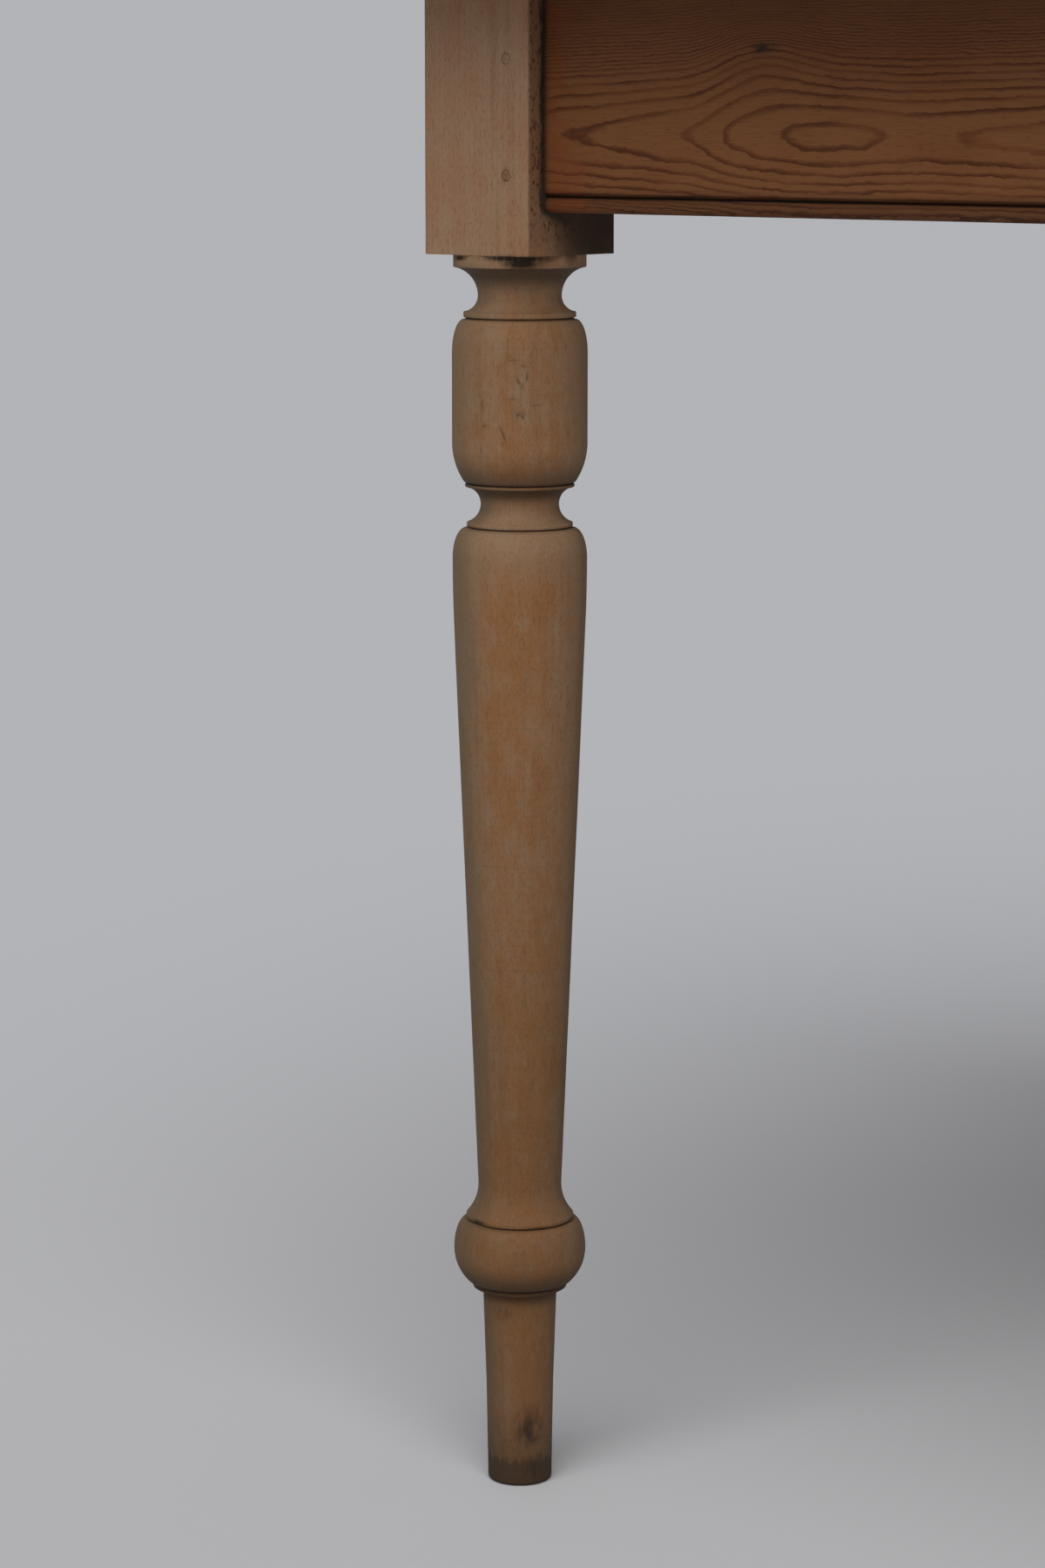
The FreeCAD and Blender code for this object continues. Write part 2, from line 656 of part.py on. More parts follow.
def tails(root, end, low, high, room):
    """Dovetails on an end of the back side, from root to end, spread between two heights."""
    depth = abs(end - root)
    step = (high - low) / TAIL_COUNT
    narrow = (step - TAIL_PIN_WIDTH) / 2 + room
    wide = narrow + depth * TAIL_SLOPE
    thick = ACROSS * (DRAWER_WALL + room)
    made = []
    for middle in evenly(low, high, TAIL_COUNT):
        corners = [(root, -narrow), (end, -wide), (end, wide), (root, narrow)]
        made.append(prism([Vector(x, DRAWER_IN_Y - room, middle + z) for x, z in corners], thick))
    return made


def front_tails(room=0.0):
    """Lapped dovetails between the back side and the front."""
    return tails(FRONT_IN_X, END_RAIL_OUT_X - FRONT_LAP + room, FRONT_LOW, SIDE_HIGH, room)


def back_tails(room=0.0):
    """Through dovetails between the back side and the back."""
    return tails(BACK_IN_X, BACK_OUT_X, BOTTOM_HIGH, BACK_HIGH, room)


def drawer_bottom(room=0.0):
    """Thin bottom that slides into grooves in the sides and the front, under the back."""
    reach = DRAWER_IN_Y + BOTTOM_GROOVE_DEPTH - FIT + room
    x = (BACK_OUT_X, FRONT_IN_X + BOTTOM_GROOVE_DEPTH - FIT + room)
    return box(x, (-reach, reach), grown(BOTTOM_LOW + FIT, BOTTOM_HIGH - FIT, room))


def drawer_front():
    """Front with lapped sockets for the sides' tails, a groove for the bottom and holes for the knobs."""
    board = box((FRONT_IN_X, END_RAIL_OUT_X), (-DRAWER_OUT_Y, DRAWER_OUT_Y), (FRONT_LOW, FRONT_HIGH))
    start = Vector(FRONT_IN_X, KNOB_SPACING / 2, KNOB_Z)
    hole = Part.makeCylinder(KNOB_SPIGOT_RADIUS + FIT, DRAWER_FRONT_THICKNESS, start, ALONG)
    return board.cut([*on_both_sides([hole, *front_tails(FIT)]), drawer_bottom(FIT)])


def drawer_side():
    """Back side, with tails on both ends and a groove for the bottom."""
    y = (DRAWER_IN_Y, DRAWER_OUT_Y)
    body = box((BACK_IN_X, FRONT_IN_X), y, (DRAWER_FLOOR, SIDE_HIGH))
    heel = box((BACK_OUT_X, BACK_IN_X), y, (DRAWER_FLOOR, BOTTOM_HIGH))
    return body.fuse([heel, *front_tails(), *back_tails()]).removeSplitter().cut(drawer_bottom(FIT))


def drawer_back():
    """Back that stands on the bottom, with sockets for the sides' tails."""
    board = box((BACK_OUT_X, BACK_IN_X), (-DRAWER_OUT_Y, DRAWER_OUT_Y), (BOTTOM_HIGH, BACK_HIGH))
    return board.cut([*on_both_sides(back_tails(FIT)), *bottom_nails(FIT)])


def knob():
    """Back knob, turned with a spigot that is glued through the front."""
    waist = DRAWER_FRONT_THICKNESS + KNOB_FOOT_LENGTH + KNOB_WAIST_FALL
    neck = waist + KNOB_WAIST_RISE
    belly = neck + KNOB_HEAD_RISE
    turned = Turning(KNOB_SPIGOT_RADIUS, 0.0)
    turned.to(KNOB_SPIGOT_RADIUS, DRAWER_FRONT_THICKNESS)
    turned.to(KNOB_FOOT_RADIUS, DRAWER_FRONT_THICKNESS)
    turned.to(KNOB_FOOT_RADIUS, DRAWER_FRONT_THICKNESS + KNOB_FOOT_LENGTH)
    turned.swell(KNOB_WAIST_RADIUS, waist)
    turned.fall(KNOB_NECK_RADIUS, neck)
    turned.swell(KNOB_RADIUS, belly)
    turned.fall(KNOB_FACE_RADIUS, belly + KNOB_HEAD_FALL)
    turned.dome(KNOB_DOME)
    shape = turned.solid()
    shape.rotate(Vector(), ACROSS, 90)
    shape.translate(Vector(FRONT_IN_X, KNOB_SPACING / 2, KNOB_Z))
    return shape


def drawer():
    """Every piece of the right drawer by its name."""
    pieces = {"front": drawer_front(), "back": drawer_back()}
    pieces["bottom"] = drawer_bottom().cut(bottom_nails(FIT))
    for name, side in SIDES.items():
        pieces[f"side_{name}"] = mirrored(drawer_side(), side=side)
        pieces[f"knob_{name}"] = mirrored(knob(), side=side)
    pieces["nails"] = Part.makeCompound(bottom_nails())
    return pieces


def table():
    """Every piece of the table by its name."""
    pieces = {f"top_board_{place}": board for place, board in enumerate(top_boards(), 1)}
    pieces["centre_bearer"] = centre_bearer()
    for name, side in SIDES.items():
        pieces[f"side_rail_{name}"] = mirrored(side_rail(), side=side)
        pieces[f"runner_{name}"] = mirrored(runner(), side=side)
        pieces[f"guide_{name}"] = mirrored(guide(), side=side)
        for end_name, end in ENDS.items():
            pieces[f"leg_{name}_{end_name}"] = mirrored(leg(), end, side)
            pieces[f"kicker_{name}_{end_name}"] = mirrored(kicker(), end, side)
    for name, end in ENDS.items():
        pieces[f"end_bottom_rail_{name}"] = mirrored(end_bottom_rail(), end)
        pieces[f"end_top_rail_{name}"] = mirrored(end_top_rail(), end)
        stops = Part.makeCompound(on_both_sides([drawer_stop()]))
        pieces[f"drawer_stops_{name}"] = mirrored(stops, end)
        for piece, shape in drawer().items():
            pieces[f"{name}_drawer_{piece}"] = mirrored(shape, end)
    at_all_corners = {"side_rail_pegs": side_pegs(), "end_rail_pegs": [end_peg()]}
    for name, pegs in at_all_corners.items():
        placed = [mirrored(peg, end) for peg in on_both_sides(pegs) for end in ENDS.values()]
        pieces[name] = Part.makeCompound(placed)
    pieces["top_screws"] = Part.makeCompound(top_screws())
    pieces["runner_screws"] = Part.makeCompound(on_both_sides(runner_screws()))
    pieces["guide_nails"] = Part.makeCompound(on_both_sides(guide_nails()))
    return pieces


os.makedirs("parts", exist_ok=True)
for node, solid in table().items():
    solid.exportStep(f"parts/{node}.step")
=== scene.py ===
"""Looks of a farmhouse kitchen table: turned legs, beaded rails, a planked top and a drawer in each end.

Metres, in the frame of the solids: X along the table, Y across it, Z up from the floor under its middle.
"""
import math
import random

import bmesh
import bpy
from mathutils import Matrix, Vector


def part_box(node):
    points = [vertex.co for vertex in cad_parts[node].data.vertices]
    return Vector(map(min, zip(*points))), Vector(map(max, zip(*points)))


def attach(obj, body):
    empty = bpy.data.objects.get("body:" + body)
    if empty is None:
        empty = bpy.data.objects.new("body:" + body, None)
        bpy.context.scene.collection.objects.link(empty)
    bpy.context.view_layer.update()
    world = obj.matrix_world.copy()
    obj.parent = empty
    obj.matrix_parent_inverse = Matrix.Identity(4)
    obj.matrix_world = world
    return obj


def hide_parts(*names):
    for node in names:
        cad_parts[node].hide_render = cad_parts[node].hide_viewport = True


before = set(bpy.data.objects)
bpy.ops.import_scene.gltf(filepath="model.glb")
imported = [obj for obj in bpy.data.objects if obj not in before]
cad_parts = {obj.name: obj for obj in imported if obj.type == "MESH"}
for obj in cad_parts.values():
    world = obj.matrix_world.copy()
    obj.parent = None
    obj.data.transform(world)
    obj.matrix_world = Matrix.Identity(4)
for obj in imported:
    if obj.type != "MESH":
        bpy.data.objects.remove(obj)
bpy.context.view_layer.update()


# Legs: four squares of close-grained hardwood, left square at the head, where the rails are tenoned in
# and pegged, and turned below it on a lathe. They are stripped bare: grey-brown, with the old finish
# still orange along the taper, dirt in the cuts, small dents in the barrel and grime on the toe. Painted
# shade darkens the toe further, the sides of the turning, the undersides of its rounds and the corners beside
# the rails.

MM = 0.001
ENDS = {"left": -1, "right": 1}
SIDES = {"front": -1, "back": 1}


def take_up(*pieces):
    """Select these pieces and nothing else, the first of them active."""
    bpy.ops.object.select_all(action="DESELECT")
    for piece in pieces:
        piece.select_set(True)
    bpy.context.view_layer.objects.active = pieces[0]


def pick(piece, parts, test):
    """In edit mode, select the verts, edges or faces whose middle and normal pass a test."""
    modes = {"verts": "VERT", "edges": "EDGE", "faces": "FACE"}
    bpy.ops.mesh.select_mode(type=modes[parts])
    bpy.ops.mesh.select_all(action="DESELECT")
    shape = bmesh.from_edit_mesh(piece.data)
    for part in getattr(shape, parts):
        corners = [part] if parts == "verts" else part.verts
        middle = sum((corner.co for corner in corners), Vector()) / len(corners)
        if test(middle, Vector() if parts == "edges" else part.normal):
            part.select_set(True)
    shape.select_flush_mode()
    bmesh.update_edit_mesh(piece.data)


def apply(piece, kind, **settings):
    """Put a modifier on a piece and apply it."""
    take_up(piece)
    modifier = piece.modifiers.new(kind.title(), kind)
    for setting, value in settings.items():
        setattr(modifier, setting, value)
    bpy.ops.object.modifier_apply(modifier=modifier.name)


def bar(low, high):
    """A square-edged bar between two corners."""
    low, high = Vector(low), Vector(high)
    bpy.ops.object.select_all(action="DESELECT")
    bpy.ops.mesh.primitive_cube_add(size=1, location=(low + high) / 2, scale=high - low)
    bpy.ops.object.transform_apply(location=True, rotation=True, scale=True)
    return bpy.context.active_object


def rod(start, end, radius, corners=24):
    """A round bar between two points."""
    start, end = Vector(start), Vector(end)
    bpy.ops.object.select_all(action="DESELECT")
    bpy.ops.mesh.primitive_cylinder_add(
        vertices=corners, radius=radius, depth=(end - start).length, location=(start + end) / 2,
        rotation=(end - start).to_track_quat("Z", "Y").to_euler())
    bpy.ops.object.transform_apply(location=True, rotation=True, scale=True)
    return bpy.context.active_object


def cut_away(piece, tools):
    """Cut these shapes out of a piece, one after another."""
    for tool in tools:
        apply(piece, "BOOLEAN", operation="DIFFERENCE", object=tool, solver="EXACT")
        bpy.data.objects.remove(tool)


def wear(piece, depth, size):
    """Sink the surface unevenly by up to a depth, in swells of about this size."""
    unevenness = bpy.data.textures.new(f"{piece.name}_wear", "CLOUDS")
    unevenness.noise_scale = size
    unevenness.noise_depth = 2
    apply(piece, "DISPLACE", texture=unevenness, texture_coords="LOCAL", strength=depth, mid_level=1.0)


class Outline:
    """Places along a profile in millimetres, as distances out and heights, with curves cut into steps."""

    def __init__(self, out, height, run=4.0, arc=1.4):
        self.points = [(out, height)]
        self.run = run
        self.arc = arc

    def to(self, out, height):
        """A straight stretch."""
        start = Vector(self.points[-1])
        end = Vector((out, height))
        steps = math.ceil((end - start).length / self.run)
        self.points += [tuple(start.lerp(end, step / steps)) for step in range(1, steps + 1)]

    def bend(self, edge, belly):
        """Places from an edge to the belly or waist where the round runs along the axis."""
        reach = belly[0] - edge[0]
        rise = edge[1] - belly[1]
        radius = (reach ** 2 + rise ** 2) / (2 * abs(reach))
        turn = math.atan2(rise, radius - abs(reach))
        steps = math.ceil(radius * abs(turn) / self.arc)
        places = []
        for step in range(steps + 1):
            angle = turn * (1 - step / steps)
            fall = math.copysign(radius * (1 - math.cos(angle)), reach)
            places.append((belly[0] - fall, belly[1] + radius * math.sin(angle)))
        return places

    def swell(self, out, height):
        """A round to a belly or a waist."""
        self.points += self.bend(self.points[-1], (out, height))[1:]

    def fall(self, out, height):
        """A round away from a belly or a waist."""
        self.points += self.bend((out, height), self.points[-1])[-2::-1]

    def thumb(self, out, height):
        """A quarter of an ellipse away from a belly, which ends square to the axis."""
        belly, start = self.points[-1]
        steps = math.ceil((abs(height - start) + abs(belly - out)) / self.arc)
        for step in range(1, steps + 1):
            angle = math.pi / 2 * step / steps
            place = out + (belly - out) * math.cos(angle)
            self.points.append((place, start + (height - start) * math.sin(angle)))

    def quirk(self, out, width=1.0, depth=1.3):
        """A narrow cut, up to where the next member starts."""
        start, height = self.points[-1]
        self.points.append((min(start, out) - depth, height + width / 2))
        self.points.append((out, height + width))


TOUCHING = 0.01 * MM
LIP_SHARPNESS = math.radians(30)


def turned(name, outline, steps, lip):
    """A piece spun about the Z axis from its outline, with its sharp lips rounded."""
    places = [Vector((out, 0, height)) * MM for out, height in outline.points]
    bpy.ops.object.select_all(action="DESELECT")
    bpy.ops.mesh.primitive_plane_add(size=MM)
    piece = bpy.context.active_object
    piece.name = name
    bpy.ops.object.mode_set(mode="EDIT")
    bpy.ops.mesh.select_mode(type="VERT")
    bpy.ops.mesh.select_all(action="SELECT")
    bpy.ops.mesh.merge(type="CENTER")
    bpy.ops.transform.translate(value=places[0])
    for start, end in zip(places, places[1:]):
        bpy.ops.mesh.extrude_region_move(TRANSFORM_OT_translate={"value": end - start})
    bpy.ops.mesh.select_all(action="SELECT")
    bpy.ops.mesh.spin(steps=steps, angle=math.tau, center=(0, 0, 0), axis=(0, 0, 1))
    bpy.ops.mesh.select_all(action="SELECT")
    bpy.ops.mesh.remove_doubles(threshold=TOUCHING)
    bpy.ops.mesh.normals_make_consistent(inside=False)
    bpy.ops.mesh.select_mode(type="EDGE")
    bpy.ops.mesh.select_all(action="DESELECT")
    bpy.ops.mesh.edges_select_sharp(sharpness=LIP_SHARPNESS)
    bpy.ops.mesh.bevel(offset=lip, segments=2, affect="EDGES")
    bpy.ops.object.mode_set(mode="OBJECT")
    return piece


class Number:
    """A value that varies over a surface. Arithmetic on it adds nodes to its material."""

    def __init__(self, paint, socket):
        self.paint = paint
        self.socket = socket

    def __add__(self, other):
        return self.paint.math("ADD", self, other)

    def __radd__(self, other):
        return self.paint.math("ADD", other, self)

    def __sub__(self, other):
        return self.paint.math("SUBTRACT", self, other)

    def __rsub__(self, other):
        return self.paint.math("SUBTRACT", other, self)

    def __mul__(self, other):
        return self.paint.math("MULTIPLY", self, other)

    def __truediv__(self, other):
        return self.paint.math("DIVIDE", self, other)


class Paint:
    """A material in the making. Its methods add nodes and give back what they put out."""

    def __init__(self, name):
        self.material = bpy.data.materials.new(name)
        self.material.use_nodes = True
        self.nodes = self.material.node_tree.nodes
        self.links = self.material.node_tree.links
        self.shader = self.nodes["Principled BSDF"]
        place = self.add("ShaderNodeTexCoord").outputs["Object"]
        split = self.add("ShaderNodeSeparateXYZ", {0: place})
        self.axes = {axis: Number(self, split.outputs[axis.upper()]) / MM for axis in "xyz"}

    def feed(self, socket, value):
        if isinstance(value, Number):
            value = value.socket
        if isinstance(value, bpy.types.NodeSocket):
            self.links.new(value, socket)
        else:
            socket.default_value = value

    def add(self, kind, inputs=None, **settings):
        node = self.nodes.new(kind)
        for setting, value in settings.items():
            setattr(node, setting, value)
        for socket, value in (inputs or {}).items():
            self.feed(node.inputs[socket], value)
        return node

    def math(self, operation, *values):
        node = self.add("ShaderNodeMath", dict(enumerate(values)), operation=operation)
        return Number(self, node.outputs[0])

    def length(self, first, second):
        """The long side of a right angle with these sides."""
        return self.math("SQRT", first * first + second * second)

    def rise(self, value, low, high):
        """A smooth step from 0 at low to 1 at high."""
        inputs = {"Value": value, "From Min": low, "From Max": high}
        node = self.add("ShaderNodeMapRange", inputs, interpolation_type="SMOOTHSTEP")
        return Number(self, node.outputs[0])

    def hump(self, *shares):
        """A smooth hump of 1 where all these are 0, gone where any is past about 2."""
        return self.math("EXPONENT", self.total(share * share for share in shares) * -1.0)

    def total(self, shares):
        """These added up."""
        first, *rest = shares
        return sum(rest, first)

    def most(self, first, *others):
        """The greatest of these."""
        for other in others:
            first = self.math("MAXIMUM", first, other)
        return first

    def noise(self, x, y, z, detail=2.0):
        """Soft chance from 0 to 1, one swing for each step of 1."""
        place = self.add("ShaderNodeCombineXYZ", {0: x, 1: y, 2: z}).outputs[0]
        node = self.add("ShaderNodeTexNoise", {"Vector": place, "Scale": 1.0, "Detail": detail})
        return Number(self, node.outputs["Fac"])

    def mix(self, share, first, second):
        """The first colour, with this share of the second."""
        node = self.add("ShaderNodeMix", {0: share, 6: first, 7: second}, data_type="RGBA")
        return node.outputs[2]

    def hollows(self, reach):
        """How far a spot lies in a groove or corner of its own piece that is about this deep."""
        inputs = {"Distance": reach}
        node = self.add("ShaderNodeAmbientOcclusion", inputs, only_local=True, samples=6)
        return 1.0 - Number(self, node.outputs["AO"])

    def done(self, colour, roughness, height, depth, shine=0.15):
        bump = self.add("ShaderNodeBump", {"Height": height, "Distance": depth})
        self.feed(self.shader.inputs["Base Color"], colour)
        self.feed(self.shader.inputs["Roughness"], roughness)
        self.feed(self.shader.inputs["Normal"], bump.outputs[0])
        self.shader.inputs["Specular IOR Level"].default_value = shine
        return self.material


GREY_TAN = (0.345, 0.212, 0.124, 1)
PINK_TAN = (0.345, 0.185, 0.105, 1)
OLD_ORANGE = (0.315, 0.140, 0.050, 1)
OLIVE_TAN = (0.305, 0.212, 0.122, 1)
PALE_FILM = (0.40, 0.275, 0.175, 1)
STREAK_BROWN = (0.165, 0.080, 0.036, 1)
OLIVE_FILM_AND_SIDE_SHADE = (0.13, 0.092, 0.050, 1)
DARK_FILM = (0.060, 0.036, 0.019, 1)
UNDER_SHADE = (0.040, 0.031, 0.021, 1)
RED_SPECK = (0.095, 0.026, 0.010, 1)
DARK_DIRT_AND_SHADE = (0.028, 0.020, 0.013, 1)
HARDWOOD_RING = 3.2


def hardwood(paint, along, heart, seed, stained):
    """Colour and height of bare hardwood, with the old finish left where stained is 1."""
    run = paint.axes[along]
    across, through = (value for axis, value in paint.axes.items() if axis != along)
    drift = paint.noise(run / 170, across / 60, through / 60 + seed)
    rings = paint.length(across - heart[0], through - heart[1]) / HARDWOOD_RING + drift * 4.0
    line = paint.rise(paint.math("FRACT", rings), 0.35, 0.95)
    mottle = paint.noise(run / 34, across / 12, through / 12 + seed, detail=5.0)
    streak = paint.noise(run / 150, across / 5, through / 5 + seed, detail=4.0)
    film = paint.noise(run / 260, across / 4, through / 4 + seed + 9.0, detail=2.0)
    fibre = paint.noise(run / 7, across / 0.5, through / 0.5, detail=1.0)
    fleck = paint.rise(paint.noise(run / 2.4, across / 0.6, through / 0.6 + seed, detail=0.0), 0.62, 0.76)
    colour = paint.mix(paint.rise(mottle, 0.40, 0.66), GREY_TAN, PINK_TAN)
    colour = paint.mix(stained, colour, OLD_ORANGE)
    colour = paint.mix(paint.rise(film, 0.54, 0.72) * 0.12, colour, PALE_FILM)
    colour = paint.mix(line * 0.07, colour, STREAK_BROWN)
    colour = paint.mix(paint.rise(streak, 0.50, 0.76) * 0.28, colour, STREAK_BROWN)
    colour = paint.mix(paint.rise(fibre, 0.45, 0.80) * 0.17, colour, STREAK_BROWN)
    colour = paint.mix(fleck * 0.30, colour, STREAK_BROWN)
    return colour, fibre * 0.5 - fleck * 0.5


# Marks on a leg: angle from the way its stain faces, height, half length, half width, lean and darkness
BARREL_MARKS = [(6, 544, 1.8, 0.60, 5, 0.55), (-1, 542, 2.0, 0.70, -25, 0.55), (2, 540, 1.6, 0.60, 30, 0.5),
                (-6, 534, 0.7, 2.20, 0, 0.35), (-1.5, 526.5, 1.5, 0.80, 35, 0.6),
                (2, 526, 1.5, 0.75, -35, 0.6), (0, 527.5, 1.8, 2.60, 0, 0.25),
                (-31, 521.3, 1.1, 0.80, 20, 0.5), (-14, 517.3, 4.2, 0.50, -21, 0.65),
                (-33, 530.5, 2.6, 0.80, 0, 0.3), (-5, 552, 0.4, 3.00, 0, 0.35),
                (3, 549.5, 0.5, 2.00, 12, 0.3), (-10, 558, 6.0, 0.60, 2, 0.22), (14, 531, 0.5, 2.40, -8, 0.3)]
BALL_MARKS = [(20, 133.6, 0.5, 6.0, 0, 0.5), (-52, 134.0, 1.1, 5.0, 0, 0.95)]
FOOT_MARKS = [(18, 28, 12.0, 9.0, 6, 0.80), (26, 9, 8.0, 11.0, 0, 0.95), (-38, 9, 6.0, 5.0, 0, 0.7),
              (0, 24, 9.0, 4.0, 4, 0.45), (-4, 9, 1.0, 3.0, 30, 0.5), (-26, 89, 5.0, 5.0, 0, 0.35)]
# Painted shadow of the square head along the top of the disc, ragged at its edge
DISC_SHADOW_MARKS = [(-2, 598.9, 1.3, 14.0, 0, 1.5), (0, 596.6, 2.2, 7.0, 0, 1.3), (-64, 598.7, 1.0, 5.5, 0, 1.2)]
BLOCK_MARKS = [(-10.1, 637, 3.6, 1.7, 6, 0.55)]
LEG_MARKS = [*BARREL_MARKS, *BALL_MARKS, *FOOT_MARKS, *DISC_SHADOW_MARKS, *BLOCK_MARKS]
BROAD_MARK = 4.0

# Heights on a leg in millimetres from which, and to which, its looks change
TURNED_BELOW = (601.0, 592.0)
STAINED_BELOW = (650.0, 540.0)
MORE_STAIN = (320.0, 180.0)
LESS_FILM = (485.0, 510.0)
BY_RAIL = (596.0, 612.0)
BELOW_RAIL = (622.0, 612.0)
ABOVE_DISC = (580.0, 602.0)
SOLE = (3.0, 0.5)
# The same with the share that each brings
DARK_LOWER = [(470.0, 230.0, 0.18), (300.0, 170.0, 0.12)]
# At the toe, grime and a wet line, with painted shade that darkens the foot towards the floor
TOE_GRIME_AND_SHADE = [(96.0, 50.0, 0.08), (50.0, 8.0, 0.44), (15.5, 12.0, 0.30)]
# Bands round a leg: height, reach and share
BARE_BAND = (468.0, 17.0, 0.8)
# The neck ring under the ball, darkened as painted shade, and the fillet under the barrel
NECK_SHADE = [(99.4, 1.9, 0.70), (491.3, 1.5, 0.35)]
CLEAN_CUTS = [(570.1, 3.0, 0.45), (471.4, 3.0, 0.35)]

DARK_ALL_OVER = 0.14
FILM_TURN = math.radians(9)
LEG_HEART = (55.0, 20.0)
INNER_FACE = (30.8, 31.4)
OUTER_ARRIS = (-31.8, -29.6)


def leg_wood(name, axis, end, side, turn, seed):
    """Stripped hardwood of one leg: stained towards one turn, dirty in its cuts, toe and joints, with painted
    shade at its toe and joints, under its rounds and on its sides.
    """
    paint = Paint(name)
    x, y, z = paint.axes.values()
    across = x - axis[0] / MM
    through = y - axis[1] / MM
    reach = paint.math("MAXIMUM", paint.length(across, through), 1.0)

    def towards(angle):
        """How squarely the surface lies to this turn or away from it."""
        return paint.math("ABSOLUTE", across * math.cos(angle) + through * math.sin(angle)) / reach

    def bands(rows):
        """Soft bands round the leg, added up."""
        return paint.total(paint.hump((z - place) / wide) * share for place, wide, share in rows)

    cloud = paint.noise(z / 60, x / 26, y / 26 + seed, detail=5.0)
    band = paint.noise(z / 300, x / 9, y / 9 + seed, detail=4.0)
    spots = paint.noise(z / 16, x / 8, y / 8 + seed, detail=5.0)
    grainy = paint.noise(z / 6, x / 3, y / 3 + seed, detail=4.0)
    dots = paint.noise(z / 2.4, x / 1.3, y / 1.3 + seed, detail=1.0)
    patchy = paint.rise(paint.noise(z / 7, x / 2.6, y / 2.6 + seed, detail=5.0), 0.30, 0.62)
    turned_part = paint.rise(z, *TURNED_BELOW)

    # The old finish is left towards the turn, and is gone at the head of the taper and from the block
    uneven = (cloud - 0.5) * 1.3 + (band - 0.5) * 0.7 + (spots - 0.5) * 1.4 + (grainy - 0.5) * 1.2
    stained = paint.rise(towards(turn) + uneven * 0.8 + paint.rise(z, *MORE_STAIN) * 0.25, 0.15, 1.40)
    stained = stained * (1.0 - bands([BARE_BAND])) * paint.rise(z, *STAINED_BELOW)
    heart = (-end * LEG_HEART[0] + axis[0] / MM, side * LEG_HEART[1] + axis[1] / MM)
    colour, height = hardwood(paint, "z", heart, seed, stained)
    colour = paint.mix(turned_part * (1.0 - stained) * 0.4, colour, OLIVE_TAN)

    # The sides of the turning are darkened to olive, partly a film of grime and partly painted shade;
    # the leg is darker further down, and painted shade lies under its rounds
    front = towards(turn + FILM_TURN * end * side)
    film_and_side_shade = paint.rise(front + (cloud - 0.5) * 0.5, 0.86, 0.30) * turned_part
    colour = paint.mix(film_and_side_shade * (0.50 - paint.rise(z, *LESS_FILM) * 0.19), colour, OLIVE_FILM_AND_SIDE_SHADE)
    darker = paint.total(paint.rise(z, high, low) * share for high, low, share in DARK_LOWER) + DARK_ALL_OVER
    colour = paint.mix(darker * turned_part, colour, DARK_FILM)
    under = Number(paint, paint.add("ShaderNodeAttribute", attribute_name="underside").outputs["Fac"])
    colour = paint.mix(paint.rise(under, 0.06, 0.75) * 0.72, colour, UNDER_SHADE)
    colour = paint.mix(paint.rise(dots, 0.66, 0.76) * turned_part * 0.45, colour, STREAK_BROWN)

    # The toe is dirty, and painted shade darkens it towards the floor, the neck ring under the ball and
    # the foot's top below it; marks are knocked in all over, and those at the disc's top are painted shadow
    ragged = z + (patchy - 0.5) * 4.0
    toe = paint.total(paint.rise(ragged, high, low) * share for high, low, share in TOE_GRIME_AND_SHADE)
    shadow = paint.rise(z, 89.0, 98.0) * paint.rise(z, 99.0, 98.4) * 0.62
    dirt_and_shade_mask = paint.most(toe, paint.rise(z, *SOLE) * patchy, bands(NECK_SHADE), shadow)
    around = (paint.math("ARCTAN2", through, across) - turn) * (end * side)
    for swing, place, length, width, lean, dark in LEG_MARKS:
        aside = (around - math.radians(swing)) * reach
        above = z - place
        slant = math.radians(lean)
        along = (above * math.cos(slant) + aside * math.sin(slant)) / length
        beside = (aside * math.cos(slant) - above * math.sin(slant)) / width
        spot = paint.hump(along, beside) * dark
        if width * length > BROAD_MARK:
            spot = spot * (patchy * 0.7 + 0.5)
        dirt_and_shade_mask = paint.most(dirt_and_shade_mask, spot)

    # The block's inner faces beside the rails are browned, partly by painted shade, and specked red; the
    # corner along each rail and the face below it are painted black, as shade with dirt
    in_x = across * -end
    in_y = through * -side
    jagged = (patchy - 0.5) * 1.6
    by_rail = paint.rise(in_x, *INNER_FACE) * paint.rise(in_y, *OUTER_ARRIS)
    by_end = paint.rise(in_y, *INNER_FACE) * paint.rise(in_x, *OUTER_ARRIS)
    beside_rail = (by_rail + by_end) * paint.rise(z, *BY_RAIL)
    colour = paint.mix(beside_rail * 0.50, colour, STREAK_BROWN)
    colour = paint.mix(beside_rail * paint.rise(dots, 0.58, 0.68) * 0.8, colour, RED_SPECK)
    below = paint.rise(z, *BELOW_RAIL) * 26.0
    joint_shade_and_dirt = by_rail * paint.rise(in_y + jagged, -24.5, below - 21.2)
    joint_shade_and_dirt = joint_shade_and_dirt + by_end * paint.rise(in_x + jagged, -18.0, below - 14.0)
    above_disc = paint.rise(z + (spots - 0.5) * 12.0, *ABOVE_DISC)
    corners = joint_shade_and_dirt * (1.0 - turned_part) * above_disc * (cloud * 0.5 + 0.65)
    dirt = paint.rise(paint.hollows(4 * MM), 0.30, 0.80) * (0.78 - bands(CLEAN_CUTS))
    dirt_and_shade_mask = paint.most(dirt_and_shade_mask, dirt, corners)
    # Dirt in the cuts, toe and marks, with the painted shade at the toe, neck, disc and joints, in one dark
    # colour
    colour = paint.mix(paint.math("MINIMUM", dirt_and_shade_mask, 0.92), colour, DARK_DIRT_AND_SHADE)

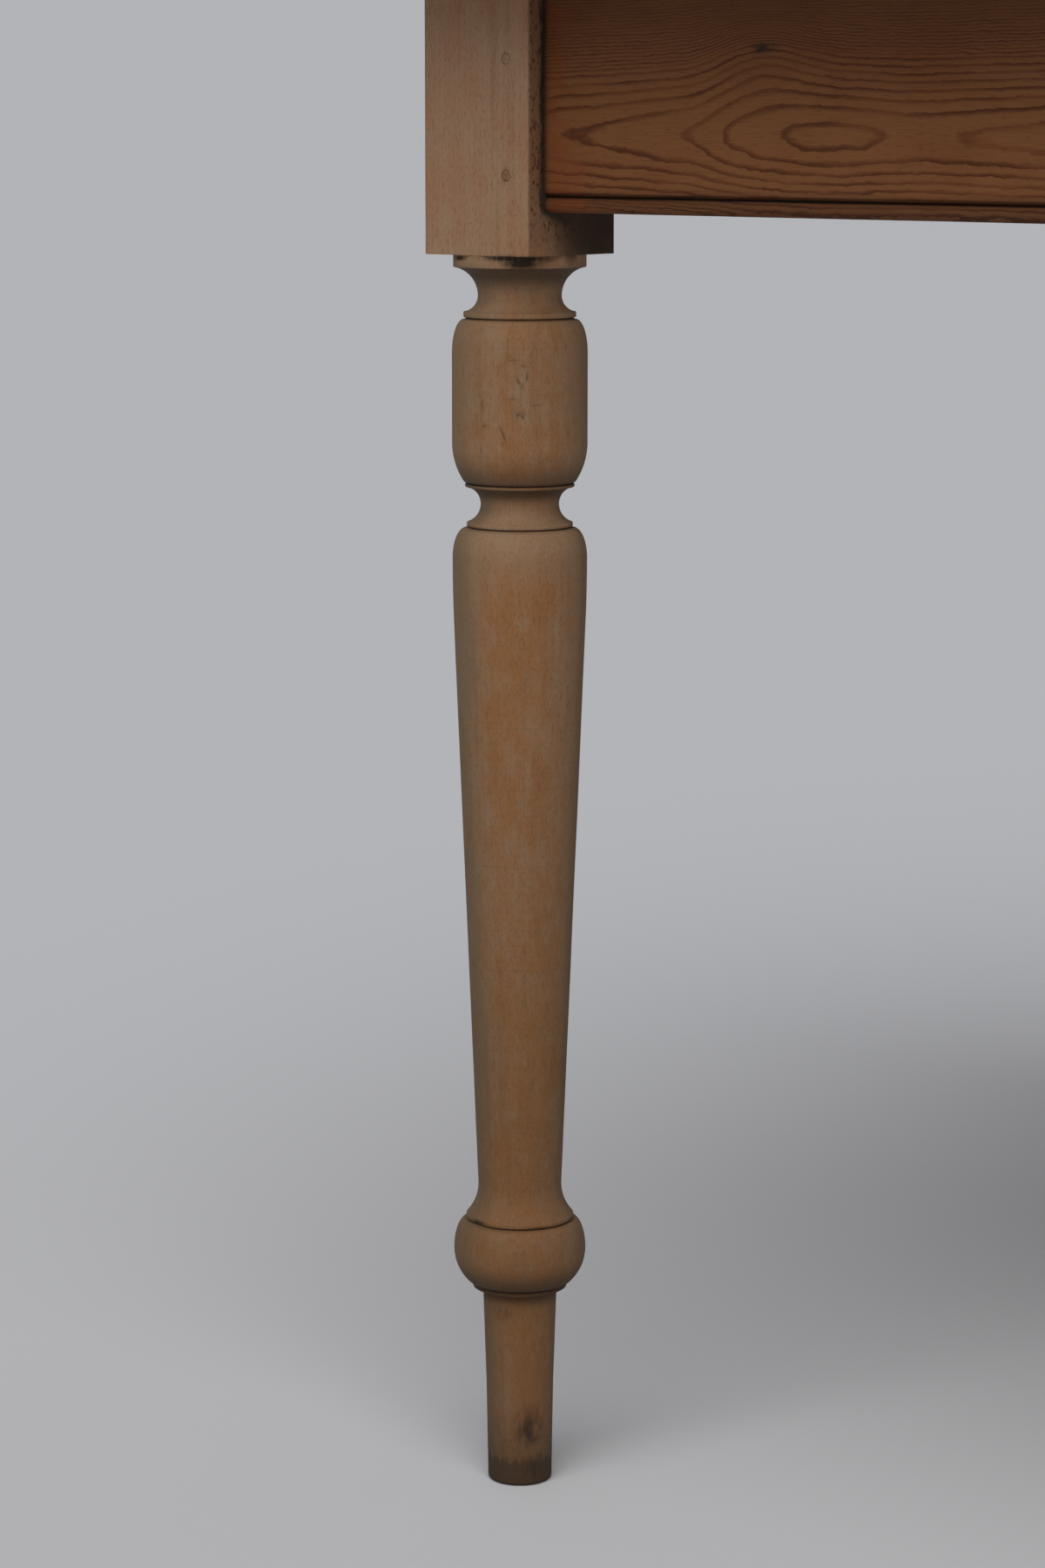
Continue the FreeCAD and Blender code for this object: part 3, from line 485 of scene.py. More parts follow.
    # Fine rings are left by the lathe
    lathe = paint.noise(z / 0.9, seed, 0.5, detail=1.0)
    colour = paint.mix(paint.rise(lathe, 0.55, 0.78) * turned_part * patchy * 0.12, colour, DARK_FILM)
    return paint.done(colour, 0.65 + cloud * 0.15, height + lathe * 0.3 + cloud * 0.5 - dirt_and_shade_mask, 0.22 * MM)


TURNING_STEPS = 128
LIP_ROUND = 0.35 * MM
BLOCK_ARRIS = 1.0 * MM
BLOCK_CELLS = 18
BLOCK_DROP = 20 * MM

leg_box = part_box("leg_front_left")
rail_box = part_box("side_rail_front")
shoulder = rail_box[0].z - BLOCK_DROP

# Places on the turning from the floor up, as radius and height in millimetres
TOE = (15.7, 1.2)
TOE_EDGE = 14.5
FOOT_MIDDLE = (16.5, 50.0)
FOOT_HEAD = (18.1, 98.3)
NECK_RING = 23.0
NECK_RING_HEAD = 100.3
BALL_FOOT = 25.0
BALL_BELLY = (32.2, 117.6)
BALL_HEAD = (26.4, 132.2)
COLLAR_HEAD = (26.2, 134.9)
ANKLE = (20.3, 150.0)
TAPER_SHOULDER = (31.7, 430.9)
TAPER_BELLY = (32.1, 456.9)
TAPER_HEAD = (25.9, 470.9)
RING_HEAD = (25.3, 473.6)
LOWER_WAIST = (18.7, 482.3)
LOWER_FILLET = (26.1, 490.6)
LOWER_FILLET_HEAD = 491.9
BARREL_FOOT = 26.6
BARREL_BELLY = (32.2, 511.5)
BARREL_SHOULDER = (32.2, 553.6)
BARREL_HEAD = (26.6, 569.6)
UPPER_FILLET_HEAD = (26.7, 573.1)
UPPER_WAIST = (19.9, 580.6)
DISC_FOOT = (31.5, 594.0)

profile = Outline(0.0, 0.0)
profile.to(TOE_EDGE, 0.0)
profile.to(*TOE)
profile.to(*FOOT_MIDDLE)
profile.to(*FOOT_HEAD)
profile.to(NECK_RING, FOOT_HEAD[1])
profile.to(NECK_RING, NECK_RING_HEAD)
profile.quirk(BALL_FOOT)
profile.swell(*BALL_BELLY)
profile.thumb(*BALL_HEAD)
profile.quirk(COLLAR_HEAD[0])
profile.to(*COLLAR_HEAD)
profile.swell(*ANKLE)
profile.to(*TAPER_SHOULDER)
profile.swell(*TAPER_BELLY)
profile.thumb(*TAPER_HEAD)
profile.quirk(RING_HEAD[0])
profile.to(*RING_HEAD)
profile.swell(*LOWER_WAIST)
profile.fall(*LOWER_FILLET)
profile.to(LOWER_FILLET[0], LOWER_FILLET_HEAD)
profile.quirk(BARREL_FOOT)
profile.swell(*BARREL_BELLY)
profile.to(*BARREL_SHOULDER)
profile.thumb(*BARREL_HEAD)
profile.quirk(UPPER_FILLET_HEAD[0])
profile.to(*UPPER_FILLET_HEAD)
profile.swell(*UPPER_WAIST)
profile.fall(*DISC_FOOT)
profile.to(DISC_FOOT[0], shoulder / MM)
turning = turned("leg_turning", profile, TURNING_STEPS, LIP_ROUND)

LEG_SQUARE = 63.5 * MM
half_side = LEG_SQUARE / 2
leg_axis = -(leg_box[0] + leg_box[1]).xy / 2
inner = leg_axis - Vector((half_side, half_side))
outer = leg_axis + Vector((half_side, half_side))

TENON_THICKNESS = 8 * MM
TENON_FOOT = 6 * MM
TENON_HEAD = 25 * MM
HAUNCH = 10 * MM
PEG_HOLE = 2.6 * MM
PEG_INSET = 13.3 * MM
PEG_HEIGHTS = (17 * MM, 70 * MM)
PEG_DEPTH = 30 * MM
TWIN_TENON = 10 * MM
TWIN_END = 32.6 * MM
TWIN_SHOULDER = 4 * MM
TAIL_LENGTH = 26 * MM
TAIL_HALF = 13.5 * MM
end_rail_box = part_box("end_bottom_rail_left")
top_rail_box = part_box("end_top_rail_left")


def mirror_to(end, side, low, high):
    """The two corners of a box at the right back leg, moved to the leg at this end and side."""
    flip = Vector((end, side, 1))
    pair = [Vector(corner) * flip for corner in (low, high)]
    return [Vector(map(pick_one, *pair)) for pick_one in (min, max)]


def leg_mortises(end, side):
    """Shapes of the holes in a leg's head for its rails and pegs."""
    tenon_y = -(rail_box[0].y + rail_box[1].y) / 2
    foot = rail_box[0].z + TENON_FOOT
    head = rail_box[1].z - TENON_HEAD
    thick = TENON_THICKNESS / 2
    near, far = tenon_y - thick, tenon_y + thick
    holes = [((inner.x - MM, near, foot), (rail_box[1].x, far, head)),
             ((inner.x - MM, near, head - MM), (inner.x + HAUNCH, far, rail_box[1].z + MM))]
    middle = -(top_rail_box[0].x + top_rail_box[1].x) / 2
    for place in (middle - TWIN_TENON, middle + TWIN_TENON):
        holes.append(((place - TWIN_TENON / 2, inner.y - MM, end_rail_box[0].z + TWIN_SHOULDER),
                      (place + TWIN_TENON / 2, inner.y + TWIN_END, end_rail_box[1].z - TWIN_SHOULDER)))
    holes.append(((middle - TAIL_HALF, inner.y - MM, top_rail_box[0].z),
                  (middle + TAIL_HALF, inner.y + TAIL_LENGTH, top_rail_box[1].z + MM)))
    tools = [bar(*mirror_to(end, side, *hole)) for hole in holes]
    for height in PEG_HEIGHTS:
        z = rail_box[0].z + height
        x = end * (inner.x + PEG_INSET)
        tools.append(rod((x, side * (outer.y + MM), z), (x, side * (outer.y - PEG_DEPTH), z), PEG_HOLE))
    y = side * (inner.y + PEG_INSET)
    z = (end_rail_box[0].z + end_rail_box[1].z) / 2
    tools.append(rod((end * (outer.x + MM), y, z), (end * (outer.x - 2 * PEG_DEPTH), y, z), PEG_HOLE))
    return tools


# Dents in a leg: angle from the way its stain faces, height, half width, half length and depth
LEG_DENTS = [(2, 543, 1.8, 3.0, 0.35), (0, 526.5, 2.2, 2.0, 0.4), (-13, 517, 1.4, 4.0, 0.3),
             (-52, 133.6, 5.0, 1.2, 0.7), (3, 599.0, 11.0, 1.0, 1.4), (-64, 599.0, 5.0, 1.0, 1.4),
             (150, 599.0, 12.0, 1.0, 1.2)]
STAIN_TURN = math.radians(49.7)
CORE = 5 * MM
UNEVEN = 0.16 * MM
UNEVEN_SIZE = 45 * MM
SMOOTH_ANGLE = math.radians(32)


def dent(piece, axis, turn, height, width, length, depth):
    """Press a mark into a turned surface."""
    for corner in piece.data.vertices:
        out = Vector((corner.co.x - axis[0], corner.co.y - axis[1]))
        if abs(corner.co.z - height * MM) > 2 * length * MM or out.length < CORE:
            continue
        swing = (math.atan2(out.y, out.x) - turn + math.pi) % math.tau - math.pi
        along = (corner.co.z / MM - height) / length
        around = swing * out.length / MM / width
        sunk = out.normalized() * depth * MM * math.exp(-along ** 2 - around ** 2)
        corner.co.x -= sunk.x
        corner.co.y -= sunk.y


def dress(piece, body, slot, material, *nodes):
    """Finish a piece: its paint, its shading, and the body and solids that it stands for."""
    take_up(piece)
    piece.data.materials.clear()
    piece.data.materials.append(material)
    bpy.ops.object.shade_smooth_by_angle(angle=SMOOTH_ANGLE)
    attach(piece, body)
    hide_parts(*nodes)


def leg_blank(name, axis, end, side):
    """One leg: the square head with its mortises, bridged to a copy of the turning."""
    leg = bar((axis[0] - half_side, axis[1] - half_side, shoulder),
              (axis[0] + half_side, axis[1] + half_side, leg_box[1].z))
    leg.name = name
    bpy.ops.object.mode_set(mode="EDIT")
    bpy.ops.mesh.subdivide(number_cuts=BLOCK_CELLS)
    near = 0.99 * half_side
    pick(leg, "edges", lambda middle, _: min(abs(middle.x - axis[0]), abs(middle.y - axis[1])) > near)
    bpy.ops.mesh.bevel(offset=BLOCK_ARRIS, segments=3, affect="EDGES")
    bpy.ops.object.mode_set(mode="OBJECT")
    cut_away(leg, leg_mortises(end, side))
    take_up(leg)
    bpy.ops.object.mode_set(mode="EDIT")
    pick(leg, "faces", lambda middle, normal: normal.z < -0.9 and middle.z < shoulder + MM)
    bpy.ops.mesh.delete(type="FACE")
    bpy.ops.object.mode_set(mode="OBJECT")
    lower = turning.copy()
    lower.data = turning.data.copy()
    bpy.context.collection.objects.link(lower)
    lower.location = (*axis, 0)
    take_up(leg, lower)
    bpy.ops.object.transform_apply(location=True, rotation=True, scale=True)
    bpy.ops.object.join()
    bpy.ops.object.mode_set(mode="EDIT")
    pick(leg, "verts", lambda middle, _: abs(middle.z - shoulder) < TOUCHING)
    bpy.ops.mesh.select_mode(type="EDGE")
    bpy.ops.mesh.bridge_edge_loops()
    bpy.ops.mesh.select_all(action="SELECT")
    bpy.ops.mesh.normals_make_consistent(inside=False)
    bpy.ops.object.mode_set(mode="OBJECT")
    return leg


chance = random.Random(7)
for side_name, side in SIDES.items():
    for end_name, end in ENDS.items():
        axis = (end * leg_axis.x, side * leg_axis.y)
        leg = leg_blank(f"turned_leg_{side_name}_{end_name}", axis, end, side)
        wear(leg, UNEVEN, UNEVEN_SIZE)
        turn = math.atan2(side * math.sin(STAIN_TURN), -end * math.cos(STAIN_TURN))
        # How far each place faces down, which sets the painted shade under the rounds
        under = leg.data.attributes.new("underside", "FLOAT", "POINT")
        downward = [-corner.normal.z if corner.co.z < shoulder - MM else 0.0 for corner in leg.data.vertices]
        under.data.foreach_set("value", downward)
        for swing, height, width, length, depth in LEG_DENTS:
            dent(leg, axis, turn + math.radians(swing) * end * side, height, width, length, depth)
        seed = chance.uniform(0, 50)
        paint = leg_wood(f"stripped_hardwood_{side_name}_{end_name}", axis, end, side, turn, seed)
        dress(leg, "table", "leg_hardwood", paint, f"leg_{side_name}_{end_name}")
bpy.data.objects.remove(turning)


# Pegs: cleft hardwood whittled to a rough round, driven through each leg's head and the tenon in it and
# cut off flush. They have shrunk a little into their holes.

PEG_RADIUS = 2.55 * MM
PEG_SINK = 0.05 * MM
PEG_SIDES = 9
PEG_ARRIS = 0.2 * MM
PEG_SHARPNESS = math.radians(60)
PALER_PEGS = (650.0, 680.0)
RAIL_PEG = 29 * MM
END_PEG = 51.5 * MM


def peg(face, tip):
    """One peg from the leg's face inwards."""
    face, tip = Vector(face), Vector(tip)
    face += (tip - face).normalized() * PEG_SINK
    pin = rod(face, tip, PEG_RADIUS, PEG_SIDES)
    bpy.ops.object.mode_set(mode="EDIT")
    bpy.ops.mesh.select_mode(type="EDGE")
    bpy.ops.mesh.select_all(action="DESELECT")
    bpy.ops.mesh.edges_select_sharp(sharpness=PEG_SHARPNESS)
    bpy.ops.mesh.bevel(offset=PEG_ARRIS, segments=2, affect="EDGES")
    bpy.ops.object.mode_set(mode="OBJECT")
    return pin


rail_pins = []
end_pins = []
for end in ENDS.values():
    for side in SIDES.values():
        x = end * (inner.x + PEG_INSET)
        for height in PEG_HEIGHTS:
            z = rail_box[0].z + height
            rail_pins.append(peg((x, side * outer.y, z), (x, side * (outer.y - RAIL_PEG), z)))
        y = side * (inner.y + PEG_INSET)
        z = (end_rail_box[0].z + end_rail_box[1].z) / 2
        end_pins.append(peg((end * outer.x, y, z), (end * (outer.x - END_PEG), y, z)))
for name, node, pins, along in (("rail_pins", "side_rail_pegs", rail_pins, "y"),
                                ("end_pins", "end_rail_pegs", end_pins, "x")):
    take_up(*pins)
    bpy.ops.object.join()
    pins[0].name = name
    paint = Paint(f"{name}_wood")
    grain = paint.noise(*(axis / 0.7 for axis in paint.axes.values()), detail=3.0)
    colour, height = hardwood(paint, along, (300.0, 650.0), 4.0, 0.4)
    colour = paint.mix(paint.rise(grain, 0.30, 0.65) * 0.45 + 0.08, colour, DARK_FILM)
    colour = paint.mix(paint.rise(paint.axes["z"], *PALER_PEGS) * 0.35, colour, PALE_FILM)
    dress(pins[0], "table", "peg_hardwood", paint.done(colour, 0.75, height, 0.2 * MM), node)


# Side rails: a pine board along each side, tenoned into the legs a little behind their faces, with a
# quirk and bead run along the foot. The old red stain is left at the ends and dirt in the quirk. Painted
# shade darkens the upper part, where the top shades it, and the bead.

PINE_PALE = (0.228, 0.090, 0.031, 1)
PINE_LINE = (0.088, 0.026, 0.009, 1)
PINE_RED = (0.17, 0.048, 0.014, 1)
STAIN_RED = (0.20, 0.046, 0.012, 1)
RAIL_SHADE_COLOUR = (0.030, 0.013, 0.007, 1)
OLD_GROWTH = 0.9
SWAY_DEPTH = 60.0
STAINED_FOOT = (672.0, 640.0)


def pine(name, along, deep, heart, ring, seed, pale=PINE_PALE, line=PINE_LINE, young=42.0, sway=(),
         wander=26.0, ripple=2.4, phase=0.0, blotches=0.35, knots=(), butts=(), shades=()):
    """Softwood sawn along one axis and thin along another, with its heart at this depth and place.

    Rings crowd past young from the heart, which wanders by chance or follows sway, and bulge over knots.
    Stain and dirt are left at the butts, and shades darken it between two heights as painted shade.
    """
    paint = Paint(name)
    wide = next(axis for axis in "xyz" if axis not in (along, deep))
    run, across, through = (paint.axes[axis] for axis in (along, deep, wide))
    wave = paint.noise(run / 16, across / 7, through / 7 + seed, detail=4.0) - 0.5
    tremble = paint.noise(run / 4.5, across / 2, through / 2 + seed, detail=3.0) - 0.5
    if sway:
        start, stop = sway[0][0], sway[-1][0]
        bow = paint.add("ShaderNodeFloatCurve", {"Value": (run - start) / (stop - start)})
        points = bow.mapping.curves[0].points
        while len(points) < len(sway):
            points.new(0.5, 0.5)
        for point, (place, shift) in zip(points, sway):
            point.location = ((place - start) / (stop - start), shift / SWAY_DEPTH)
        bow.mapping.update()
        shift = Number(paint, bow.outputs[0]) * SWAY_DEPTH
    else:
        shift = (paint.noise(run / 320, seed, 0.5, detail=1.0) - 0.5) * wander
    inward = across - heart[0] - shift
    lean = (paint.noise(run / 500, seed, 7.5, detail=0.0) - 0.5) * wander
    upward = through - heart[1] - lean + wave * ripple
    eyes = 0.0
    for place, height, size, lift in knots:
        off = (run - place) / (size * 6.0)
        upward = upward - paint.hump(off, (through - height + size) / (size * 4.5)) * lift
        rough = paint.noise(run / 2, across / 2, through / 2, detail=2.0) - 0.5
        eyes = paint.hump((run - place) / size + rough, (through - height) / (size * 0.5) + rough) + eyes
    reach = paint.length(inward + wave * ripple * 0.3, upward)
    steep = paint.math("MAXIMUM", paint.math("ABSOLUTE", upward) / reach, 0.12)
    reach = reach + tremble * (steep * 1.3 + 0.2)
    reach = reach + paint.math("MAXIMUM", reach - young, 0.0) * OLD_GROWTH
    rings = reach / ring + phase
    band = paint.math("FRACT", rings)
    to_line = (1.0 - band) * ring / steep
    late = paint.rise(band, 0.45, 0.88) * paint.rise(band, 1.0, 0.92) * paint.rise(to_line, 5.0, 0.9)
    late = late * (1.0 - paint.rise(reach, young * 1.1, young * 2.2) * 0.55)
    year = paint.noise(paint.math("FLOOR", rings) * 0.71, seed + run / 55, through / 30, detail=2.0)
    blotch = paint.noise(run / 70, across / 32, through / 32 + seed, detail=3.0)
    fibre = paint.noise(run / 18, across / 0.45, through / 0.45, detail=1.0)
    canal = paint.rise(paint.noise(run / 6, across / 0.35, through / 0.35 + seed, detail=0.0), 0.70, 0.80)

    colour = paint.mix(paint.rise(blotch, 0.45, 0.75) * blotches, pale, PINE_RED)
    colour = paint.mix(late * 0.5, colour, PINE_RED)
    colour = paint.mix(late * paint.rise(year, 0.22, 0.68), colour, line)
    colour = paint.mix(paint.rise(fibre, 0.45, 0.80) * 0.25, colour, line)
    colour = paint.mix(canal * 0.35, colour, line)
    colour = paint.mix(eyes, colour, DARK_DIRT_AND_SHADE)
    dirt = paint.rise(paint.hollows(4 * MM), 0.35, 0.85) * 0.9
    # Painted shade from one height to another, such as the top's shadow down a rail
    for low, high, share in shades:
        colour = paint.mix(paint.rise(through + (blotch - 0.5) * 8.0, low, high) * share, colour, RAIL_SHADE_COLOUR)
    patch = paint.noise(run / 9, across / 6, through / 6 + seed, detail=3.0) - 0.5
    for place in butts:
        gap = paint.math("ABSOLUTE", run - place)
        wet = gap + (blotch - 0.5) * 24 + patch * 60 - paint.rise(through, *STAINED_FOOT) * 16.0
        colour = paint.mix(paint.rise(wet, 15.0, 1.0) * 0.42, colour, STAIN_RED)
        dirt = paint.math("MAXIMUM", dirt, paint.rise(gap + (fibre - 0.5) * 3, 3.5, 0.0) * 0.9)
    colour = paint.mix(dirt, colour, DARK_DIRT_AND_SHADE)
    return paint.done(colour, 0.62 + blotch * 0.2, late * 0.5 + fibre * 0.4 - canal * 0.4, 0.2 * MM)


SAME_CORNER = 0.002 * MM
FLAT = math.radians(0.5)
ARRIS_SHARPNESS = math.radians(40)


def refined(node, name, arris, cells):
    """A copy of a solid with its arrises eased and its faces cut into cells small enough to wear."""
    piece = bpy.data.objects.new(name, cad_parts[node].data.copy())
    bpy.context.collection.objects.link(piece)
    take_up(piece)
    bpy.ops.object.mode_set(mode="EDIT")
    bpy.ops.mesh.select_mode(type="EDGE")
    bpy.ops.mesh.select_all(action="SELECT")
    bpy.ops.mesh.remove_doubles(threshold=SAME_CORNER)
    bpy.ops.mesh.dissolve_limited(angle_limit=FLAT)
    bpy.ops.mesh.select_all(action="DESELECT")
    bpy.ops.mesh.edges_select_sharp(sharpness=ARRIS_SHARPNESS)
    bpy.ops.mesh.bevel(offset=arris, segments=2, affect="EDGES", clamp_overlap=True)
    low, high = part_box(node)
    for axis, cell in enumerate(cells):
        count = round((high[axis] - low[axis]) / cell) if cell else 0
        for cut in range(1, count):
            place = Vector()
            place[axis] = low[axis] + (high[axis] - low[axis]) * cut / count
            normal = Vector()
            normal[axis] = 1
            bpy.ops.mesh.select_all(action="SELECT")
            bpy.ops.mesh.bisect(plane_co=place, plane_no=normal)
    bpy.ops.object.mode_set(mode="OBJECT")
    return piece


RAIL_ARRIS = 0.4 * MM
RAIL_CELLS = (14 * MM, 0, 12 * MM)
RAIL_WEAR = 0.25 * MM
RAIL_RING = 2.4
RAIL_PHASE = 0.62
RAIL_RIPPLE = 2.2
RAIL_WANDER = 4.0
RAIL_SEED = 3.0
# Painted shade, from and to a height, with its share: the top's shadow, a darker bead, and more towards the
# top
RAIL_SHADES = ((645.0, 728.0, 0.46), (633.0, 627.0, 0.42), (720.0, 630.0, 0.12))
RAIL_END = 609.0
RAIL_HEART_HEIGHT = 656.0
# Depth of the heart behind the rail's face, at distances along the rail from its left end
RAIL_HEART = [(0, 32.9), (7, 32.4), (14, 32.1), (24, 31.9), (50, 31.0), (75, 30.0), (85, 29.6), (95, 28.6),
              (104, 27.3), (118, 26.0), (135, 25.0), (148, 24.35), (163, 24.2), (178, 24.35), (191, 24.9),
              (208, 25.3), (230, 24.9), (262, 24.2), (300, 23.4), (420, 27.5), (580, 32.0), (760, 28.0),
              (980, 34.0), (1218, 29.0)]
# The rail's knot: distance along it, height, size, and how far the rings bulge over the knot
RAIL_KNOT = (125.0, 693.8, 4.5, 8.0)

for side_name, side in SIDES.items():
    node = f"side_rail_{side_name}"
    rail = refined(node, f"beaded_rail_{side_name}", RAIL_ARRIS, RAIL_CELLS)
    wear(rail, RAIL_WEAR, UNEVEN_SIZE)
    heart = (side * -rail_box[0].y / MM, RAIL_HEART_HEIGHT)
    sway = sorted((side * (RAIL_END - place), depth) for place, depth in RAIL_HEART)
    knot = (side * (RAIL_END - RAIL_KNOT[0]), *RAIL_KNOT[1:])
    paint = pine(f"rail_pine_{side_name}", "x", "y", heart, RAIL_RING, RAIL_SEED + side, sway=sway,
                 wander=RAIL_WANDER, ripple=RAIL_RIPPLE, phase=RAIL_PHASE, knots=[knot],
                 butts=(-RAIL_END, RAIL_END), shades=RAIL_SHADES)
    dress(rail, "table", "rail_pine", paint, node)


# End rails: the rail under each drawer is twin-tenoned into the legs and pegged, with the bead of the
# side rails along its foot. The rail over the drawer is dovetailed into the tops of the legs.

BOARD_WEAR = 0.25 * MM
HEART_DEPTHS = (25, 45)
HEART_ASIDE = (-0.3, 0.3)
END_RAIL_CELLS = (0, 14 * MM, 0)


def board(node, body, slot, along, deep, cells, arris=0.5 * MM, ring=2.4, **looks):
    """A sawn board: its solid refined, worn and painted as pine with its heart beyond one face."""
    low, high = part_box(node)
    piece = refined(node, f"{node}_wood", arris, cells)
    wear(piece, BOARD_WEAR, UNEVEN_SIZE)
    wide = next(axis for axis in "xyz" if axis not in (along, deep))
    depth = getattr((low + high) / 2, deep) / MM + chance.choice((-1, 1)) * chance.uniform(*HEART_DEPTHS)
    width = getattr(high - low, wide) / MM
    place = getattr((low + high) / 2, wide) / MM + chance.uniform(*HEART_ASIDE) * width
    paint = pine(f"{node}_pine", along, deep, (depth, place), ring, chance.uniform(0, 90), **looks)
    dress(piece, body, slot, paint, node)
    apply(piece, "WEIGHTED_NORMAL", keep_sharp=True)


leg_face = inner.y / MM
for end_name in ENDS:
    for name in ("bottom", "top"):
        board(f"end_{name}_rail_{end_name}", "table", "rail_pine", "y", "x", END_RAIL_CELLS, RAIL_ARRIS,
              butts=(-leg_face, leg_face))


# Inner frame: a bearer across the middle, runners and guides that carry the drawers along the side rails,
# kickers over them and stops behind the fronts, all of unfinished pine gone brown with age and dust.

DUSTY_PALE = (0.34, 0.225, 0.13, 1)
DUSTY_LINE = (0.20, 0.115, 0.06, 1)
BEARER_CELLS = (0, 30 * MM, 20 * MM)
STRIP_CELLS = (30 * MM, 0, 0)
STOP_CELLS = (0, 0, 0)
dusty = {"pale": DUSTY_PALE, "line": DUSTY_LINE, "blotches": 0.2}

board("centre_bearer", "table", "inner_pine", "y", "x", BEARER_CELLS, **dusty)
for side_name in SIDES:
    board(f"runner_{side_name}", "table", "inner_pine", "x", "z", STRIP_CELLS, **dusty)
    board(f"guide_{side_name}", "table", "inner_pine", "x", "y", STRIP_CELLS, **dusty)
    for end_name in ENDS:
        board(f"kicker_{side_name}_{end_name}", "table", "inner_pine", "x", "z", STRIP_CELLS, **dusty)
for end_name in ENDS:
    board(f"drawer_stops_{end_name}", "table", "inner_pine", "y", "z", STOP_CELLS, **dusty)


# Top: four wide pine boards, tongued and grooved and screwed up from below. The scrubbed surface is paler
# than the rails, the arrises along the joints are worn round and knots show.

SCRUBBED_PALE = (0.45, 0.28, 0.15, 1)
SCRUBBED_LINE = (0.24, 0.115, 0.05, 1)
TOP_ARRIS = 0.8 * MM
TOP_CELLS = (38 * MM, 24 * MM, 0)
TOP_RING = 3.4
TOP_YOUNG = 120.0
KNOT_COUNTS = (2, 4)
KNOT_SIZES = (4.0, 8.0)
KNOT_BULGE = 1.8
KNOT_FROM_END = 60
KNOT_FROM_JOINT = 25
BOARD_TONES = (0.93, 1.04, 0.97, 1.07)

for number, tone in enumerate(BOARD_TONES, 1):
    pale, line = ([share * tone for share in colour[:3]] + [1] for colour in (SCRUBBED_PALE, SCRUBBED_LINE))
    low, high = (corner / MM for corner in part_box(f"top_board_{number}"))
    knots = []
    for _ in range(chance.randint(*KNOT_COUNTS)):
        size = chance.uniform(*KNOT_SIZES)
        x = chance.uniform(low.x + KNOT_FROM_END, high.x - KNOT_FROM_END)
        y = chance.uniform(low.y + KNOT_FROM_JOINT, high.y - KNOT_FROM_JOINT)
        knots.append((x, y, size, size * KNOT_BULGE))
    board(f"top_board_{number}", "table", "top_pine", "x", "z", TOP_CELLS, TOP_ARRIS, ring=TOP_RING,
          young=TOP_YOUNG, pale=pale, line=line, wander=20.0, blotches=0.12, knots=knots)


# Drawers: one in each end, a thick front of the rails' pine with sides dovetailed into it and into the
# back, and a thin bottom with its grain across, slid into grooves and nailed up to the back.

CLEAN_PALE = (0.46, 0.305, 0.175, 1)
CLEAN_LINE = (0.30, 0.165, 0.08, 1)
FRONT_ARRIS = 0.7 * MM
FRONT_CELLS = (0, 20 * MM, 16 * MM)
WALL_ARRIS = 0.4 * MM
SIDE_CELLS = (24 * MM, 0, 20 * MM)
BACK_CELLS = (0, 24 * MM, 20 * MM)
BOTTOM_ARRIS = 0.3 * MM
BOTTOM_CELLS = (30 * MM, 30 * MM, 0)
BOTTOM_RING = 3.0
clean = {"pale": CLEAN_PALE, "line": CLEAN_LINE, "blotches": 0.12}

for end_name in ENDS:
    drawer = f"{end_name}_drawer"
    board(f"{drawer}_front", drawer, "rail_pine", "y", "x", FRONT_CELLS, FRONT_ARRIS, wander=14.0, young=60.0)
    for side_name in SIDES:
        board(f"{drawer}_side_{side_name}", drawer, "drawer_pine", "x", "y", SIDE_CELLS, WALL_ARRIS, **clean)
    board(f"{drawer}_back", drawer, "drawer_pine", "y", "x", BACK_CELLS, WALL_ARRIS, **clean)
    board(f"{drawer}_bottom", drawer, "drawer_pine", "y", "z", BOTTOM_CELLS, BOTTOM_ARRIS, ring=BOTTOM_RING,
          **clean)


# Knobs: turned from hardwood with a spigot glued through the drawer front. Hands have darkened and
# polished them, and dirt is left in the waist.

KNOB_STEPS = 64
KNOB_ARC = 0.8
KNOB_LIP = 0.3 * MM
KNOB_WEAR = 0.15 * MM
KNOB_WEAR_SIZE = 12 * MM
KNOB_HEART = (40.0, -25.0)
KNOB_STAIN = 0.8
KNOB_SHINE = 0.4
HANDLED = (0.13, 0.062, 0.028, 1)
# Places on a knob from its spigot out, as radius and distance from the drawer's face in millimetres
SPIGOT = (7.0, -20.0)
KNOB_FOOT = (13.0, 2.5)
KNOB_WAIST = (8.5, 7.5)
KNOB_NECK = (15.0, 15.5)
KNOB_BELLY = (19.0, 20.5)
KNOB_FACE = (14.0, 26.0)
KNOB_DOME = 2.0
DOME_STEPS = 8

outline = Outline(0.0, SPIGOT[1], arc=KNOB_ARC)
outline.to(*SPIGOT)
outline.to(SPIGOT[0], 0.0)
outline.to(KNOB_FOOT[0], 0.0)
outline.to(*KNOB_FOOT)
outline.swell(*KNOB_WAIST)
outline.fall(*KNOB_NECK)
outline.swell(*KNOB_BELLY)
outline.fall(*KNOB_FACE)
face_radius, face_height = KNOB_FACE
ball = (face_radius ** 2 + KNOB_DOME ** 2) / (2 * KNOB_DOME)
for step in range(1, DOME_STEPS + 1):
    out = face_radius * (1 - step / DOME_STEPS)
    outline.points.append((out, face_height + KNOB_DOME - ball + math.sqrt(ball ** 2 - out ** 2)))
knob_turning = turned("knob_turning", outline, KNOB_STEPS, KNOB_LIP)

